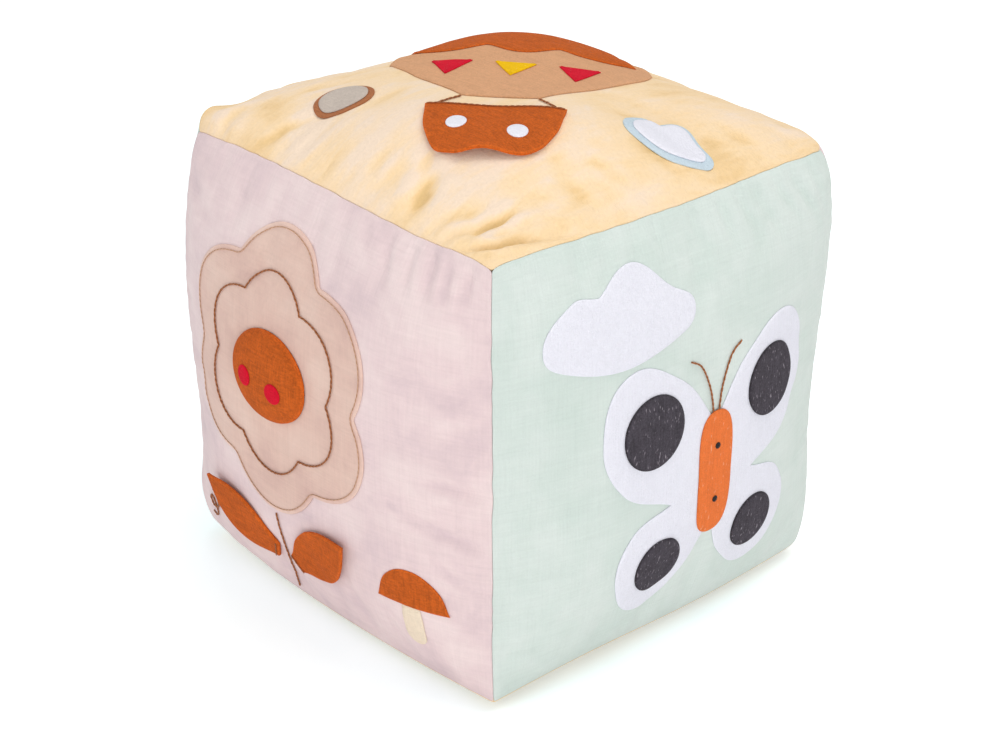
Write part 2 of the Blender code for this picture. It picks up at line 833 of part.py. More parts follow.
# Pear and heart on the back
half_pear_shares = [
    (0.17, 0.40, curved),
    (0.24, 0.16, curved),
    (0.42, -0.08, curved),
    (0.50, -0.26, curved),
    (0.34, -0.46, curved),
]
pear_place_shares = (-0.12, -0.12)
pear_stem_shares = [(0.0, 0.0), (0.10, 0.5), (0.35, 1.0)]
pear_leaf_shares = [(0, 0, pointed), (0.45, 0.5, curved), (1, 0, pointed), (0.45, -0.5, curved)]
heart_shares = [
    (0, -0.5, pointed),
    (0.46, 0.04, curved),
    (0.40, 0.42, curved),
    (0.16, 0.48, curved),
    (0, 0.26, pointed),
    (-0.16, 0.48, curved),
    (-0.40, 0.42, curved),
    (-0.46, 0.04, curved),
]
heart_place_shares = (0.58, 0.56)


def pear():
    placed = motif_place(back, pear_place_shares)
    mirrored = [(-x, y, handle) for x, y, handle in reversed(half_pear_shares)]
    shares = [(0, 0.5, curved)] + half_pear_shares + [(0, -0.5, curved)] + mirrored
    pear_size = (pear_width, pear_height)
    sew_on("pear", "tan_felt", placed, shares, pear_size, rise_on(), step=wide_step)
    tip = within(placed, 0, pear_height / 2 + 2 * thread_thickness)
    path = [(x * pear_stem_length, y * pear_stem_length) for x, y in pear_stem_shares]
    stitch_line("pear_stem", "brown_thread", tip, smooth_path(path), rise_on())
    leaf_place = within(tip, pear_leaf_width / 2, thread_thickness, pear_leaf_turn)
    leaf_size = (pear_leaf_length, pear_leaf_width)
    sew_on("pear_leaf", "rust_felt", leaf_place, pear_leaf_shares, leaf_size, rise_on())


def heart():
    placed = motif_place(back, heart_place_shares)
    sew_on("heart", "red_felt", placed, heart_shares, (heart_width, heart_height), rise_on())


def build():
    clear_scene()
    panel("top_panel", top, "butter_plush")
    panel("bottom_panel", bottom, "butter_plush")
    panel("front_panel", front, "pink_cotton")
    panel("back_panel", back, "pink_cotton")
    panel("right_panel", right, "mint_cotton")
    panel("left_panel", left, "mint_cotton")
    bpy.context.view_layer.update()
    fibre_filling()
    balloon_envelope()
    balloon_pennants()
    balloon_ropes()
    basket_flap()
    top_clouds()
    flower_petals()
    flower_centre()
    flower_stem()
    flower_leaves()
    tendril()
    toadstool()
    butterfly_wings()
    butterfly_body()
    butterfly_antennae()
    side_cloud()
    sailing_boat()
    pear()
    heart()


build()
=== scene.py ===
# %% [markdown]
# # A soft fabric block
# The object is a stuffed cube for a baby, about 20 cm along each seam. Six squares of cloth are sewn
# into a cube and filled with fibre. Felt and cotton shapes are sewn onto every side but the bottom one.
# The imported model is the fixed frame: every piece made here is set onto it, in metres, with +Z up.

# %% Frame
import math
from contextlib import contextmanager
from functools import partial

import bpy
import numpy as np
from mathutils import Euler, Matrix, Vector
from mathutils.bvhtree import BVHTree


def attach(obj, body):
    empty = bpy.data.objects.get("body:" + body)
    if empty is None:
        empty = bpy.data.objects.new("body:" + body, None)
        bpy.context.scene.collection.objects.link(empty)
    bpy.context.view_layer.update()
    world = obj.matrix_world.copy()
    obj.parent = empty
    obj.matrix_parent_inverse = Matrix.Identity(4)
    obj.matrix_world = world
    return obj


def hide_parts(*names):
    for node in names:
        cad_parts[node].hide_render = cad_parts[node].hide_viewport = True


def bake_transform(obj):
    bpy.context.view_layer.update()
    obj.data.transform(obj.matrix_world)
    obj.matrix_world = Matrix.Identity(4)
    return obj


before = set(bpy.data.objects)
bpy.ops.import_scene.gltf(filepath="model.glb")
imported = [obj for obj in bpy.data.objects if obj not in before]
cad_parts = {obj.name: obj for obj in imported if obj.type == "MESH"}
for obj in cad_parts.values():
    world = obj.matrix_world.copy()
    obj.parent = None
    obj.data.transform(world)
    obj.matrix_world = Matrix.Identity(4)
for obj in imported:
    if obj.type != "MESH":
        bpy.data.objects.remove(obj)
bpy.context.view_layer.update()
bpy.context.scene.view_settings.view_transform = "Standard"

# %% [markdown]
# ## Sizes
# The seams of the stuffed cube are 200 mm long. Each side is blown out by the stuffing, most of all the
# top, and the bottom is pressed almost flat by the block's own weight. The felt is 0.8 mm thick
# where it is sewn down, because the stitches press it.

# %% Sizes
mm = 0.001
in_mm = 1000
tiny = 1e-6
block_half = 0.100
centre_height = 0.104
corner_draw = 0.003
rest_cut = 0.0005
felt_thickness = 0.0008
cotton_thickness = 0.0005
crowns = {"top": 0.026, "bottom": 0.0045, "front": 0.020, "right": 0.015, "back": 0.023, "left": 0.016}
quarter = math.pi / 2
turns = {"top": (0, 0, 0), "bottom": (math.pi, 0, 0), "front": (quarter, 0, 0), "right": (quarter, 0, quarter),
         "back": (quarter, 0, math.pi), "left": (quarter, 0, -quarter)}
side_names = list(turns)
block_middle = Matrix.Translation((0, 0, centre_height))
# The frame of a side: x across, y up, z out of the cloth, with its zero in the block's middle.
side_frames = {side: block_middle @ Euler(turn).to_matrix().to_4x4() for side, turn in turns.items()}
print("sides", side_names)

# %% [markdown]
# ## Camera, light and floor
# The camera stands at the photograph's angle: a little above the block, looking at the corner between
# its front and its right side. Four big soft lamps light it evenly from above and from both sides, and a
# bright world fills the shadows. The floor shows white to the camera and still keeps a soft shadow.

# %% Camera
camera_azimuth = math.radians(47.27)
camera_elevation = math.radians(25.69)
camera_roll = math.radians(0.61)
camera_distance = 1.002

camera = bpy.data.objects.new("camera", bpy.data.cameras.new("camera"))
bpy.context.scene.collection.objects.link(camera)
lens = {"sensor_width": 36.0, "lens": 80.24, "shift_x": -0.0074, "shift_y": -0.0314, "clip_end": 20}
for name, value in lens.items():
    setattr(camera.data, name, value)
away = Vector((math.sin(camera_azimuth) * math.cos(camera_elevation),
               -math.cos(camera_azimuth) * math.cos(camera_elevation), math.sin(camera_elevation)))
across = Vector((math.cos(camera_azimuth), math.sin(camera_azimuth), 0))
upwards = away.cross(across)
rolled_across = across * math.cos(camera_roll) + upwards * math.sin(camera_roll)
rolled_up = upwards * math.cos(camera_roll) - across * math.sin(camera_roll)
camera.matrix_world = (Matrix.Translation(block_middle.translation + away * camera_distance)
                       @ Matrix((rolled_across, rolled_up, away)).transposed().to_4x4())
bpy.context.scene.camera = camera
print("camera at", [round(c, 3) for c in camera.location])


# %% [markdown]
# ## Helpers for materials and for meshes
# Colours are written as they look on a screen and turned into linear light by one function. Material
# nodes are added by one helper. Others pick objects, because operators act on all that is picked, open
# a mesh for editing, and apply a modifier.

# %% Small helpers
def srgb(written):
    """A colour written as a hex value, in linear light."""
    channels = [int(written[k:k + 2], 16) / 255 for k in (0, 2, 4)]
    return [c / 12.92 if c <= 0.04045 else ((c + 0.055) / 1.055) ** 2.4 for c in channels] + [1]


def set_sockets(node, links):
    """Sets a node's inputs. Each takes a value, an output, or a node, which stands for its first output."""
    for socket, value in links.items():
        if isinstance(value, bpy.types.Node):
            value = value.outputs[0]
        if isinstance(value, bpy.types.NodeSocket):
            node.id_data.links.new(value, node.inputs[socket])
        else:
            node.inputs[socket].default_value = value


def add_node(tree, kind, links=None, stops=(), **settings):
    """Adds a shader node, with its settings and with what its inputs take."""
    made = tree.nodes.new("ShaderNode" + kind)
    for name, value in settings.items():
        setattr(made, name, value)
    if stops:
        colours = made.color_ramp.elements
        while len(colours) < len(stops):
            colours.new(0.5)
        for element, (position, written) in zip(colours, stops):
            element.position = position
            element.color = srgb(written)
    set_sockets(made, links or {})
    return made


def pick_only(*objects):
    bpy.ops.object.select_all(action="DESELECT")
    for item in objects:
        item.select_set(True)
    if objects:
        bpy.context.view_layer.objects.active = objects[0]


@contextmanager
def editing():
    """Opens the active mesh for editing, with all of it selected, and closes it again."""
    bpy.ops.object.mode_set(mode="EDIT")
    bpy.ops.mesh.select_all(action="SELECT")
    yield
    bpy.ops.object.mode_set(mode="OBJECT")


def apply_modifier(piece, kind, **settings):
    pick_only(piece)
    modifier = piece.modifiers.new(kind.lower(), kind)
    for name, value in settings.items():
        setattr(modifier, name, value)
    bpy.ops.object.modifier_apply(modifier=modifier.name)
    bpy.ops.object.shade_smooth()


print("mid grey in linear light", round(srgb("808080")[0], 3))

# %% [markdown]
# ## Soft lamps and a white floor
# A product photograph is lit by big soft lamps, so that folds show without hard shadows. The floor is white
# paper. It glows only for the camera, so it looks white, throws no extra light and keeps the shadow.

# %% Light and floor
floor_width = 12
world_strength = 0.54
floor_glow = 0.39
lamps = {  # place in metres, width in metres, power in watts, colour
    "key": ((0.75, 0.9, 1.9), 0.9, 6, "FFFAF2"),
    "above": ((0.1, 0.3, 2.2), 1.4, 13, "FFFAF2"),
    "side": ((-1.1, -1.6, 0.9), 1.2, 6, "FFF8F4"),
    "low": ((1.5, -1.1, 0.25), 1.2, 15, "FFFAF6"),
}
for name, (place, width, power, colour) in lamps.items():
    lamp = bpy.data.objects.new(name, bpy.data.lights.new(name, "AREA"))
    bpy.context.scene.collection.objects.link(lamp)
    lamp.data.shape = "DISK"
    lamp.data.size = width
    lamp.data.energy = power
    lamp.data.color = srgb(colour)[:3]
    lamp.location = place
    lamp.rotation_euler = (block_middle.translation - Vector(place)).to_track_quat("-Z", "Y").to_euler()


def cleared_tree(owner):
    """Clears the nodes of a world or a material, and gives the helper that adds to them."""
    owner.use_nodes = True
    owner.node_tree.nodes.clear()
    return partial(add_node, owner.node_tree)


world = bpy.data.worlds.new("studio")
bpy.context.scene.world = world
add = cleared_tree(world)
rays = add("LightPath").outputs
seen = rays["Is Camera Ray"]
for ray in ("Is Glossy Ray", "Is Transmission Ray"):
    seen = add("Math", {0: seen, 1: rays[ray]}, operation="MAXIMUM")
fill = add("Background", {"Color": srgb("FDFDFF"), "Strength": world_strength})
white = add("Background", {"Color": srgb("FFFFFF"), "Strength": 1.0})
add("OutputWorld", {"Surface": add("MixShader", {0: seen, 1: fill, 2: white})})

bpy.ops.mesh.primitive_plane_add(size=floor_width, location=(0, 0, 0))
floor = bpy.context.object
floor.name = "floor"
paper = bpy.data.materials.new("white_paper_floor")
add = cleared_tree(paper)
lit = add("BsdfDiffuse", {"Color": srgb("FAFAFA")})
camera_rays = add("LightPath").outputs["Is Camera Ray"]
glow = add("Math", {0: camera_rays, 1: floor_glow}, operation="MULTIPLY")
# The glow is a little cool, because the light that the block throws back into its own shadow is warm.
glow = add("Emission", {"Color": srgb("DFFBFF"), "Strength": glow})
add("OutputMaterial", {"Surface": add("AddShader", {0: lit, 1: glow})})
floor.data.materials.append(paper)
print("lamps and floor set")

# %% [markdown]
# ## The stuffed body
# The real block is sewn from six squares and stuffed, so its sides swell and the cloth puckers along
# the seams. Here one closed cube with a fine grid is blown up by a cloth simulation: the seams are
# held, the cloth has a little too much width, and the pressure of the stuffing pushes it out. Nothing
# else gives such uneven puckers. Afterwards the cube is cut along its seams into the six panels.

# %% Cube with a fine grid
cells = 64
pick_only()
bpy.ops.mesh.primitive_cube_add(size=2 * block_half, location=(0, 0, 0))
body = bpy.context.object
body.name = "stuffed_body"
with editing():
    bpy.ops.mesh.subdivide(number_cuts=cells - 1)
print("body", len(body.data.vertices), "points,", len(body.data.polygons), "faces")

# %% [markdown]
# ## Moving many points at once
# Cloth has thousands of points. They are read into one array, moved there, and written back in one go,
# which is much faster than a loop. Each side also has its own frame, in which up is up on that side.

# %% Reading and writing points
def read_points(mesh, attribute=None):
    """The places of a mesh's points, or a vector attribute of them, as an array."""
    values = np.empty(len(mesh.vertices) * 3)
    if attribute is None:
        mesh.vertices.foreach_get("co", values)
    else:
        mesh.attributes[attribute].data.foreach_get("vector", values)
    return values.reshape(-1, 3)


def write_points(mesh, places):
    mesh.vertices.foreach_set("co", np.asarray(places, dtype=float).ravel())
    mesh.update()


def keep_values(mesh, name, values):
    """Keeps one number for each point, for a material to read."""
    kept = mesh.attributes.get(name) or mesh.attributes.new(name, "FLOAT", "POINT")
    kept.data.foreach_set("value", np.asarray(values, dtype=np.float32))


def to_side(side, places):
    """Places in the block's frame, as places in a side's own frame."""
    turn = np.array(side_frames[side].inverted())
    return places @ turn[:3, :3].T + turn[:3, 3]


def from_side(side, places):
    turn = np.array(side_frames[side])
    return places @ turn[:3, :3].T + turn[:3, 3]


def flat_on_side(side, flat):
    """Places on the plain cube, as places in a side's own frame."""
    return to_side(side, flat + np.array([0, 0, centre_height]))


def bell(distance, reach):
    """A soft hump: 1 in its middle, and almost nothing three reaches away."""
    return np.exp(-0.5 * (distance / reach) ** 2)


def hump_at(across, up, hump):
    """A soft hump on a side. The hump gives its middle, across and up, and its reach, in mm."""
    middle_across, middle_up, reach = hump
    return bell(np.hypot(across * in_mm - middle_across, up * in_mm - middle_up), reach)


print("a bell at one, two and three reaches", bell(np.arange(1, 4), 1).round(3))

# %% [markdown]
# ## The form before the cloth is blown up
# The simulation holds the seams where they start, so this start decides the silhouette. Corners are pushed in
# or out, seams bow a little, and lumps of fibre raise parts of a side, as on a block that was handled.

# %% Uneven stuffing
# The pressure lifts the sides in the simulation, so they start lower than the drawn crowns.
crown_shares = {"top": 0.66, "front": 0.86, "right": 0.72, "back": 0.88, "left": 0.85, "bottom": 1.0}
# Lumps of fibre make each side bulge unevenly: across and up, reach, and height, in mm. Two of the top's
# carry the hem of the loose basket, so that the flap turns about the line it is sewn on.
lumps = {
    "top": [(-46, 40, 42, 4.0), (50, 10, 44, -3.0), (6, -58, 26, 9.3), (56, -16, 26, 11.3)],
    "front": [(-50, -10, 36, 2.0), (45, -55, 30, -1.5), (60, 62, 22, 1.2), (-45, -80, 26, 2.2), (25, -84, 26, 1.2)],
    "right": [(-50, 20, 34, -1.2), (40, -50, 34, 1.8), (62, 60, 24, -1.0)],
    "back": [(30, 20, 40, 2.0)],
    "left": [(-30, 30, 40, 1.5)],
    "bottom": [],
}
# Moves of the corners beyond the drawn cube: how close each keeps to its corner, and the move across, back
# and up in mm.
corner_moves = {
    (-1, -1, 1): [(5, (0.2, 0.2, 2.2)), (14, (1.0, 1.0, -1.6))],
    (1, -1, 1): [(4, (0.0, 0.0, 2.6)), (13, (-0.5, 0.5, -3.0))],
    (1, 1, 1): [(5, (0.6, 0.6, 1.6)), (14, (-3.0, -3.0, -0.8))],
    (-1, 1, 1): [(14, (2.4, -2.4, -2.0))],
    (-1, -1, -1): [(12, (0.2, 0.2, 0.0))],
    (1, -1, -1): [(3, (1.0, 0.8, -2.6))],
    (1, 1, -1): [(4, (0.2, 0.2, -2.2)), (14, (-1.2, -1.2, 0.6))],
    (-1, 1, -1): [(12, (1.6, -1.6, 1.0))],
}
# Bows of the seams between two sides. The sides are named by their signs, and 0 is the way along. Each bow
# has its middle along the seam and its reach in mm, the move in mm, and how sharply it ends at the corners
# where that isn't the soft end.
soft_end = 6
seam_bows = {
    (-1, -1, 0): [(38, 42, (-2.9, -2.9, 0.0)), (-88, 17, (-4.0, -4.0, 0.0))],
    (0, -1, -1): [(-40, 40, (0.0, -0.6, -1.2)), (45, 40, (0.0, -0.3, -0.8))],
    (1, 0, -1): [(-35, 36, (0.0, 0.0, 2.0))],
    (1, 1, 0): [(-26, 34, (-2.2, -2.2, 0.0)), (72, 22, (1.4, 1.4, 0.0)), (-80, 18, (0.8, 0.8, 0.0))],
    (1, -1, 0): [(10, 45, (0.5, -0.2, 0.0))],
    (-1, 1, 0): [(0, 50, (-1.5, 1.5, 0.0))],
    (-1, 0, 1): [(-56, 34, (-1.6, 0.0, 5.5)), (-92, 9, (-1.5, 0.0, 6.0), 30), (40, 40, (0.0, 0.0, 1.5))],
    (0, -1, 1): [(-52, 34, (0.0, 0.0, 2.0)), (52, 22, (0.0, 0.0, -1.0))],
    (1, 0, 1): [(-5, 42, (0.0, 0.0, -2.8)), (70, 24, (0.0, 0.0, 0.8))],
    (0, 1, 1): [(0, 60, (0.0, 0.8, 1.0)), (82, 24, (0.0, 0.0, 3.2), 12)],
}
seam_closeness = 4
edge_roundness = 4
# A seam wanders slowly along a side, and by less between its stitches, in waves that are so many times finer.
# A wave is given in radians a metre along x, y and z, and by its start.
slow_wander = 0.0007
fine_wander = 0.00022
fineness = 11
wander_waves = np.array([[31, 17, 23, 0.4], [-19, 29, 13, 2.1], [13, -25, 27, 4.0]])


def swell(share):
    return 1 - np.abs(share) ** edge_roundness


def stuffed_places(across, up, side):
    """Places on a stuffed side, in the side's own frame, for flat places across and up."""
    u = across / block_half
    v = up / block_half
    drawn = 1 - corner_draw / block_half * (u * v) ** 2
    rise = crowns[side] * crown_shares[side] * swell(u) * swell(v)
    if side == "bottom":
        rise = np.minimum(rise, crowns[side] - rest_cut)
    return np.stack([across * drawn, up * drawn, block_half * drawn + rise], axis=-1)


def seam_wander(flat):
    """How far each place moves because a seam is never quite straight."""
    phase = flat @ wander_waves[:, :3].T + wander_waves[:, 3]
    slow = np.stack([np.sin(phase[:, 0]), np.sin(phase[:, 1]), 0.6 * np.sin(phase[:, 2])], axis=1) * slow_wander
    phase = flat @ wander_waves[:, :3].T * fineness + 3 * wander_waves[:, 3] + 40 * np.sin(slow[:, :1] * 3000)
    near_seam = np.sort(np.abs(flat) / block_half, axis=1)[:, 1:2] ** 10
    return slow + np.sin(phase) * near_seam * fine_wander


def stuffed_form(flat):
    """The block's stuffed form for the points of a plain cube."""
    stuffed = flat + np.array([0, 0, centre_height])
    for side in side_names:
        placed = flat_on_side(side, flat)
        here = placed[:, 2] > block_half - tiny
        across, up = placed[here, 0], placed[here, 1]
        places = stuffed_places(across, up, side)
        fade = swell(across / block_half) * swell(up / block_half)
        for *hump, height in lumps[side]:
            places[:, 2] += height * mm * hump_at(across, up, hump) * fade
        stuffed[here] = from_side(side, places)
    shares = flat / block_half
    for signs, moves in corner_moves.items():
        near = np.clip(shares * np.array(signs), 0, 1).prod(axis=1)
        for closeness, move in moves:
            stuffed += (near ** closeness)[:, None] * np.array(move) * mm
    for signs, bows in seam_bows.items():
        along = signs.index(0)
        near = np.prod([np.clip(shares[:, k] * signs[k], 0, 1) for k in range(3) if k != along], axis=0)
        for middle, reach, move, *end in bows:
            fade = 1 - shares[:, along] ** (end[0] if end else soft_end)
            bow = bell(flat[:, along] * in_mm - middle, reach) * fade
            stuffed += (near ** seam_closeness * bow)[:, None] * np.array(move) * mm
    raised = np.clip((flat[:, 2] / block_half + 1) * 2, 0, 1)
    return stuffed + seam_wander(flat) * raised[:, None]


flat_places = read_points(body.data)
near_face = np.abs(np.abs(flat_places) - block_half) < tiny
flat_places = np.where(near_face, np.sign(flat_places) * block_half, flat_places)
seam_points = (np.abs(flat_places) > block_half - tiny).sum(axis=1) >= 2
kept_flat = body.data.attributes.new("flat_place", "FLOAT_VECTOR", "POINT")
kept_flat.data.foreach_set("vector", flat_places.ravel())
write_points(body.data, stuffed_form(flat_places))
print("points on the seams", int(seam_points.sum()))

# %% [markdown]
# ## Loose cloth
# A hand-sewn side never has quite the same size as its neighbour. The wider one is eased into the seam,
# and that loose cloth later makes the gathers. Here it is given as spots where the cloth may grow.

# %% Where the cloth is loose
# Spots where a side has more cloth than its seam: across and up, reach, in mm, and how much.
loose_spots = {
    "top": [(78, -80, 26, 1.0), (-45, -75, 32, 0.9), (42, -88, 16, 1.0), (-82, -80, 22, 0.8), (-60, 30, 40, 0.6),
            (0, 60, 60, 0.4), (-20, -30, 40, 0.4), (92, -92, 12, 1.4)],
    "front": [(60, 84, 24, 1.0), (88, 0, 18, 0.7), (90, -50, 24, 0.8), (-70, 70, 30, 0.3), (90, 90, 12, 1.3)],
    "right": [(20, 86, 24, 0.9), (55, 84, 24, 1.0), (85, 72, 20, 0.8), (-90, 90, 12, 1.2)],
    "back": [(0, 84, 40, 0.8), (-84, 0, 26, 0.8), (60, -70, 30, 0.5)],
    "left": [(0, 84, 40, 0.8), (84, 0, 26, 0.6), (-60, -70, 30, 0.5)],
}
most_loose = 1.4
underside_hold = 0.9
looseness = np.zeros(len(flat_places))
for side, spots in loose_spots.items():
    placed = flat_on_side(side, flat_places)
    here = placed[:, 2] > block_half - tiny
    for *hump, amount in spots:
        there = amount * hump_at(placed[here, 0], placed[here, 1], hump)
        looseness[here] = np.maximum(looseness[here], there)
under = (flat_places[:, 2] < -block_half + tiny) & ~seam_points
held = body.vertex_groups.new(name="held_seams")
for points, hold in ((seam_points, 1.0), (under, underside_hold)):
    held.add([int(i) for i in np.nonzero(points)[0]], hold, "REPLACE")
loose = body.vertex_groups.new(name="loose_cloth")
for index, amount in enumerate(np.minimum(looseness, most_loose) / most_loose):
    loose.add([index], float(amount), "REPLACE")
print("loosest cloth", round(float(looseness.max()), 2))

# %% [markdown]
# ## Blowing it up
# Sculpting could draw folds too, but they would all look alike. The cloth modifier finds them from the loose
# cloth, the held seams and the pressure. It runs for a few frames, without gravity, and is then applied.

# %% Cloth simulation
simulation_frames = 20
longest_move = 0.008
cloth_settings = {
    "quality": 6, "mass": 0.3, "tension_stiffness": 15, "compression_stiffness": 15, "shear_stiffness": 5,
    "bending_stiffness": 0.9, "use_pressure": True, "uniform_pressure_force": 4, "vertex_group_mass": "held_seams",
    "vertex_group_shrink": "loose_cloth", "shrink_min": -0.01, "shrink_max": -0.085,
}


def blow_up(piece):
    """Lets the pressure of the stuffing push the cloth out between its held seams."""
    before = read_points(piece.data)
    cloth = piece.modifiers.new("stuffing", "CLOTH")
    for name, value in cloth_settings.items():
        setattr(cloth.settings, name, value)
    cloth.settings.effector_weights.gravity = 0
    cloth.collision_settings.use_collision = False
    cloth.point_cache.frame_end = simulation_frames
    for number in range(1, simulation_frames + 1):
        bpy.context.scene.frame_set(number)
    pick_only(piece)
    bpy.ops.object.modifier_apply(modifier=cloth.name)
    bpy.context.scene.frame_set(1)
    move = read_points(piece.data) - before
    length = np.linalg.norm(move, axis=1, keepdims=True)
    move *= np.minimum(1, longest_move / np.maximum(length, 1e-9))
    write_points(piece.data, before + move)
    return length.max()


print("furthest move of the cloth, mm", round(blow_up(body) * in_mm, 2))

# %% [markdown]
# ## The fibre inside
# Polyester fibre fills the block up to the cloth. It is never seen, but it is a piece of the object, so it is
# made from a copy of the blown-up body: rounded off along the seams, and shrunk to leave room for the cloth.

# %% Stuffing
rounding_rounds = 60
cloth_room = 0.003
stuffing = body.copy()
stuffing.data = body.data.copy()
bpy.context.scene.collection.objects.link(stuffing)
stuffing.name = "stuffing_fibre"
stuffing.data.name = stuffing.name
pick_only(stuffing)
with editing():
    bpy.ops.mesh.vertices_smooth(factor=0.5, repeat=rounding_rounds)
    bpy.ops.transform.shrink_fatten(value=-cloth_room)
stuffing.vertex_groups.clear()
bpy.ops.object.shade_smooth()
print("stuffing", [round(c * in_mm, 1) for c in stuffing.dimensions], "mm")

# %% [markdown]
# ## Six panels
# Each side is its own piece of cloth. The faces are marked by side and separated, which keeps the form
# of the folds, and gives each panel its own mesh and later its own material.

# %% Six panels, cut along the seams
for side in side_names:
    body.data.materials.append(bpy.data.materials.new(side))
opposite_corners = np.array([[polygon.vertices[0], polygon.vertices[2]] for polygon in body.data.polygons])
flat_centres = flat_places[opposite_corners].mean(axis=1)
polygon_sides = np.zeros(len(flat_centres), dtype=int)
for index, side in enumerate(side_names):
    outward = np.array(side_frames[side].col[2][:3])
    polygon_sides[flat_centres @ outward > block_half - 10 * tiny] = index
body.data.polygons.foreach_set("material_index", polygon_sides)
pick_only(body)
with editing():
    bpy.ops.mesh.separate(type="MATERIAL")
panels = {}
for piece in list(bpy.context.selected_objects):
    marker = piece.data.materials[piece.data.polygons[0].material_index]
    side = marker.name
    piece.name = side + "_cloth"
    piece.data.name = piece.name
    piece.data.materials.clear()
    bpy.data.materials.remove(marker)
    piece.vertex_groups.clear()
    panels[side] = piece
print("panels", {side: len(piece.data.polygons) for side, piece in panels.items()})

# %% [markdown]
# ## Seams that turn inwards
# A sewn seam shows no raw edge: both cloths turn into the block there. The border of each panel is
# extruded inwards twice, and one subdivision then rounds the turn, so that a fine groove is left.

# %% Turned-in seams
fold_gap = 0.00003
fold_steps = (0.0003, 0.0057)


def seam_inward(flat):
    """The way into the block at a seam point: away from all the sides that meet there."""
    outward = np.where(np.abs(flat) > block_half - tiny, np.sign(flat), 0)
    return -outward / np.linalg.norm(outward, axis=1, keepdims=True)


def turn_in_edges(piece, side):
    """Leaves a fine gap at the seams, and turns the edge of the cloth into the block."""
    pick_only(piece)
    places = to_side(side, read_points(piece.data))
    local = flat_on_side(side, read_points(piece.data, "flat_place"))
    on_seam = np.abs(local[:, :2]) > block_half - tiny
    places[:, :2] -= np.sign(local[:, :2]) * on_seam * fold_gap
    write_points(piece.data, from_side(side, places))
    with editing():
        bpy.ops.mesh.select_mode(type="EDGE")
        bpy.ops.mesh.select_all(action="SELECT")
        bpy.ops.mesh.region_to_loop()
    for step in fold_steps:
        bpy.ops.object.mode_set(mode="EDIT")
        bpy.ops.mesh.extrude_edges_move()
        bpy.ops.object.mode_set(mode="OBJECT")
        chosen = np.array([vertex.select for vertex in piece.data.vertices])
        places = read_points(piece.data)
        places[chosen] += seam_inward(read_points(piece.data, "flat_place")[chosen]) * step
        write_points(piece.data, places)
    apply_modifier(piece, "SUBSURF", levels=1)


for side, piece in panels.items():
    turn_in_edges(piece, side)
print("points of a panel", len(panels["top"].data.vertices))

# %% [markdown]
# ## Creases
# The biggest folds of the real block are lines pressed in by the way it was packed and stuffed. Each is
# drawn here as a stroke on its side: the cloth sinks along the stroke and rises a little beside it.

# %% Crease strokes
# Each stroke: its depth and the half width of its hollow, then its points, across and up, all in mm.
strokes = {
    "top": [
        (2.6, 3.4, 38, -77, 44, -92, 45, -98), (1.2, 3.0, 30, -70, 36, -82),
        (2.6, 1.5, 80, -99, 90, -89, 96, -66, 97, -40), (2.0, 1.7, 67, -99, 76, -87, 82, -61),
        (1.5, 1.5, 78, -93, 80, -76, 76, -62), (1.5, 2.6, -49, -97, -48, -84, -37, -66),
        (1.3, 2.6, -79, -99, -81, -83, -73, -74), (1.0, 2.4, -28, -94, -29, -80, -26, -66),
        (0.9, 2.2, 13, -90, 11, -74), (0.5, 2.0, 74, -27, 97, -11), (0.4, 2.2, 90, -57, 83, -27),
        (0.8, 2.4, -66, -60, -52, -38), (0.9, 1.8, 60, -100, 62, -84), (0.6, 2.0, -8, -97, -10, -84)],
    "front": [
        (1.1, 1.7, 57, 97, 60, 74), (1.2, 1.7, 69, 97, 70, 74), (1.1, 1.6, 78, 97, 79, 75),
        (1.1, 1.7, 89, 96, 87, 74), (0.9, 1.9, 42, 97, 48, 76), (0.6, 1.9, 28, 98, 32, 84),
        (1.1, 2.0, 99, 0, 62, 2), (1.0, 1.8, 99, -27, 68, -16), (1.0, 1.8, 99, -46, 71, -33),
        (0.8, 1.8, 99, -65, 78, -60), (0.45, 0.9, -20, -77, 19, -83), (0.45, 0.9, 52, -65, 66, -84),
        (0.7, 3.0, -85, 78, -60, 62), (0.7, 2.4, -98, 30, -80, 22), (0.6, 1.6, -60, -92, -30, -86)],
    "right": [
        (0.7, 1.8, -16, 98, -12, 78), (1.0, 1.8, 5, 98, 12, 74), (1.1, 1.8, 22, 98, 28, 72),
        (1.1, 1.8, 33, 98, 42, 74), (1.3, 2.1, 42, 98, 60, 64), (1.0, 1.9, 55, 98, 72, 70),
        (1.3, 2.2, 67, 98, 86, 66), (0.9, 2.0, 82, 96, 92, 70), (0.5, 2.0, -60, 96, -56, 84),
        (0.7, 2.0, 98, -40, 84, -36), (0.6, 1.8, -98, -60, -84, -56), (0.5, 2.0, -98, 20, -86, 22)],
    "back": [
        (1.0, 2.0, -60, 98, -56, 74), (0.9, 2.0, -20, 98, -22, 78), (1.1, 2.0, 40, 98, 36, 72),
        (1.0, 2.0, -98, 20, -70, 14), (1.0, 2.0, 98, -50, 74, -44)],
    "left": [
        (1.0, 2.0, -70, 98, -62, 74), (0.9, 2.0, -40, 98, -36, 76), (1.0, 2.0, 30, 98, 34, 74),
        (1.0, 2.0, 98, 10, 72, 6), (0.9, 2.0, -98, -60, -76, -52)],
}
# A stroke starts at a share of its depth, and deepens and fades over shares of its length. Its lips are
# placed and sized in half widths of the hollow, and their height is a share of its depth.
start_depth, deepening, fading = 0.35, 0.2, 0.55
lip_place, lip_width, lip_height = 2.3, 0.9, 0.38
# Strokes fade out towards the seam, in mm from the side's middle.
stroke_end, stroke_end_fade = 99.5, 3


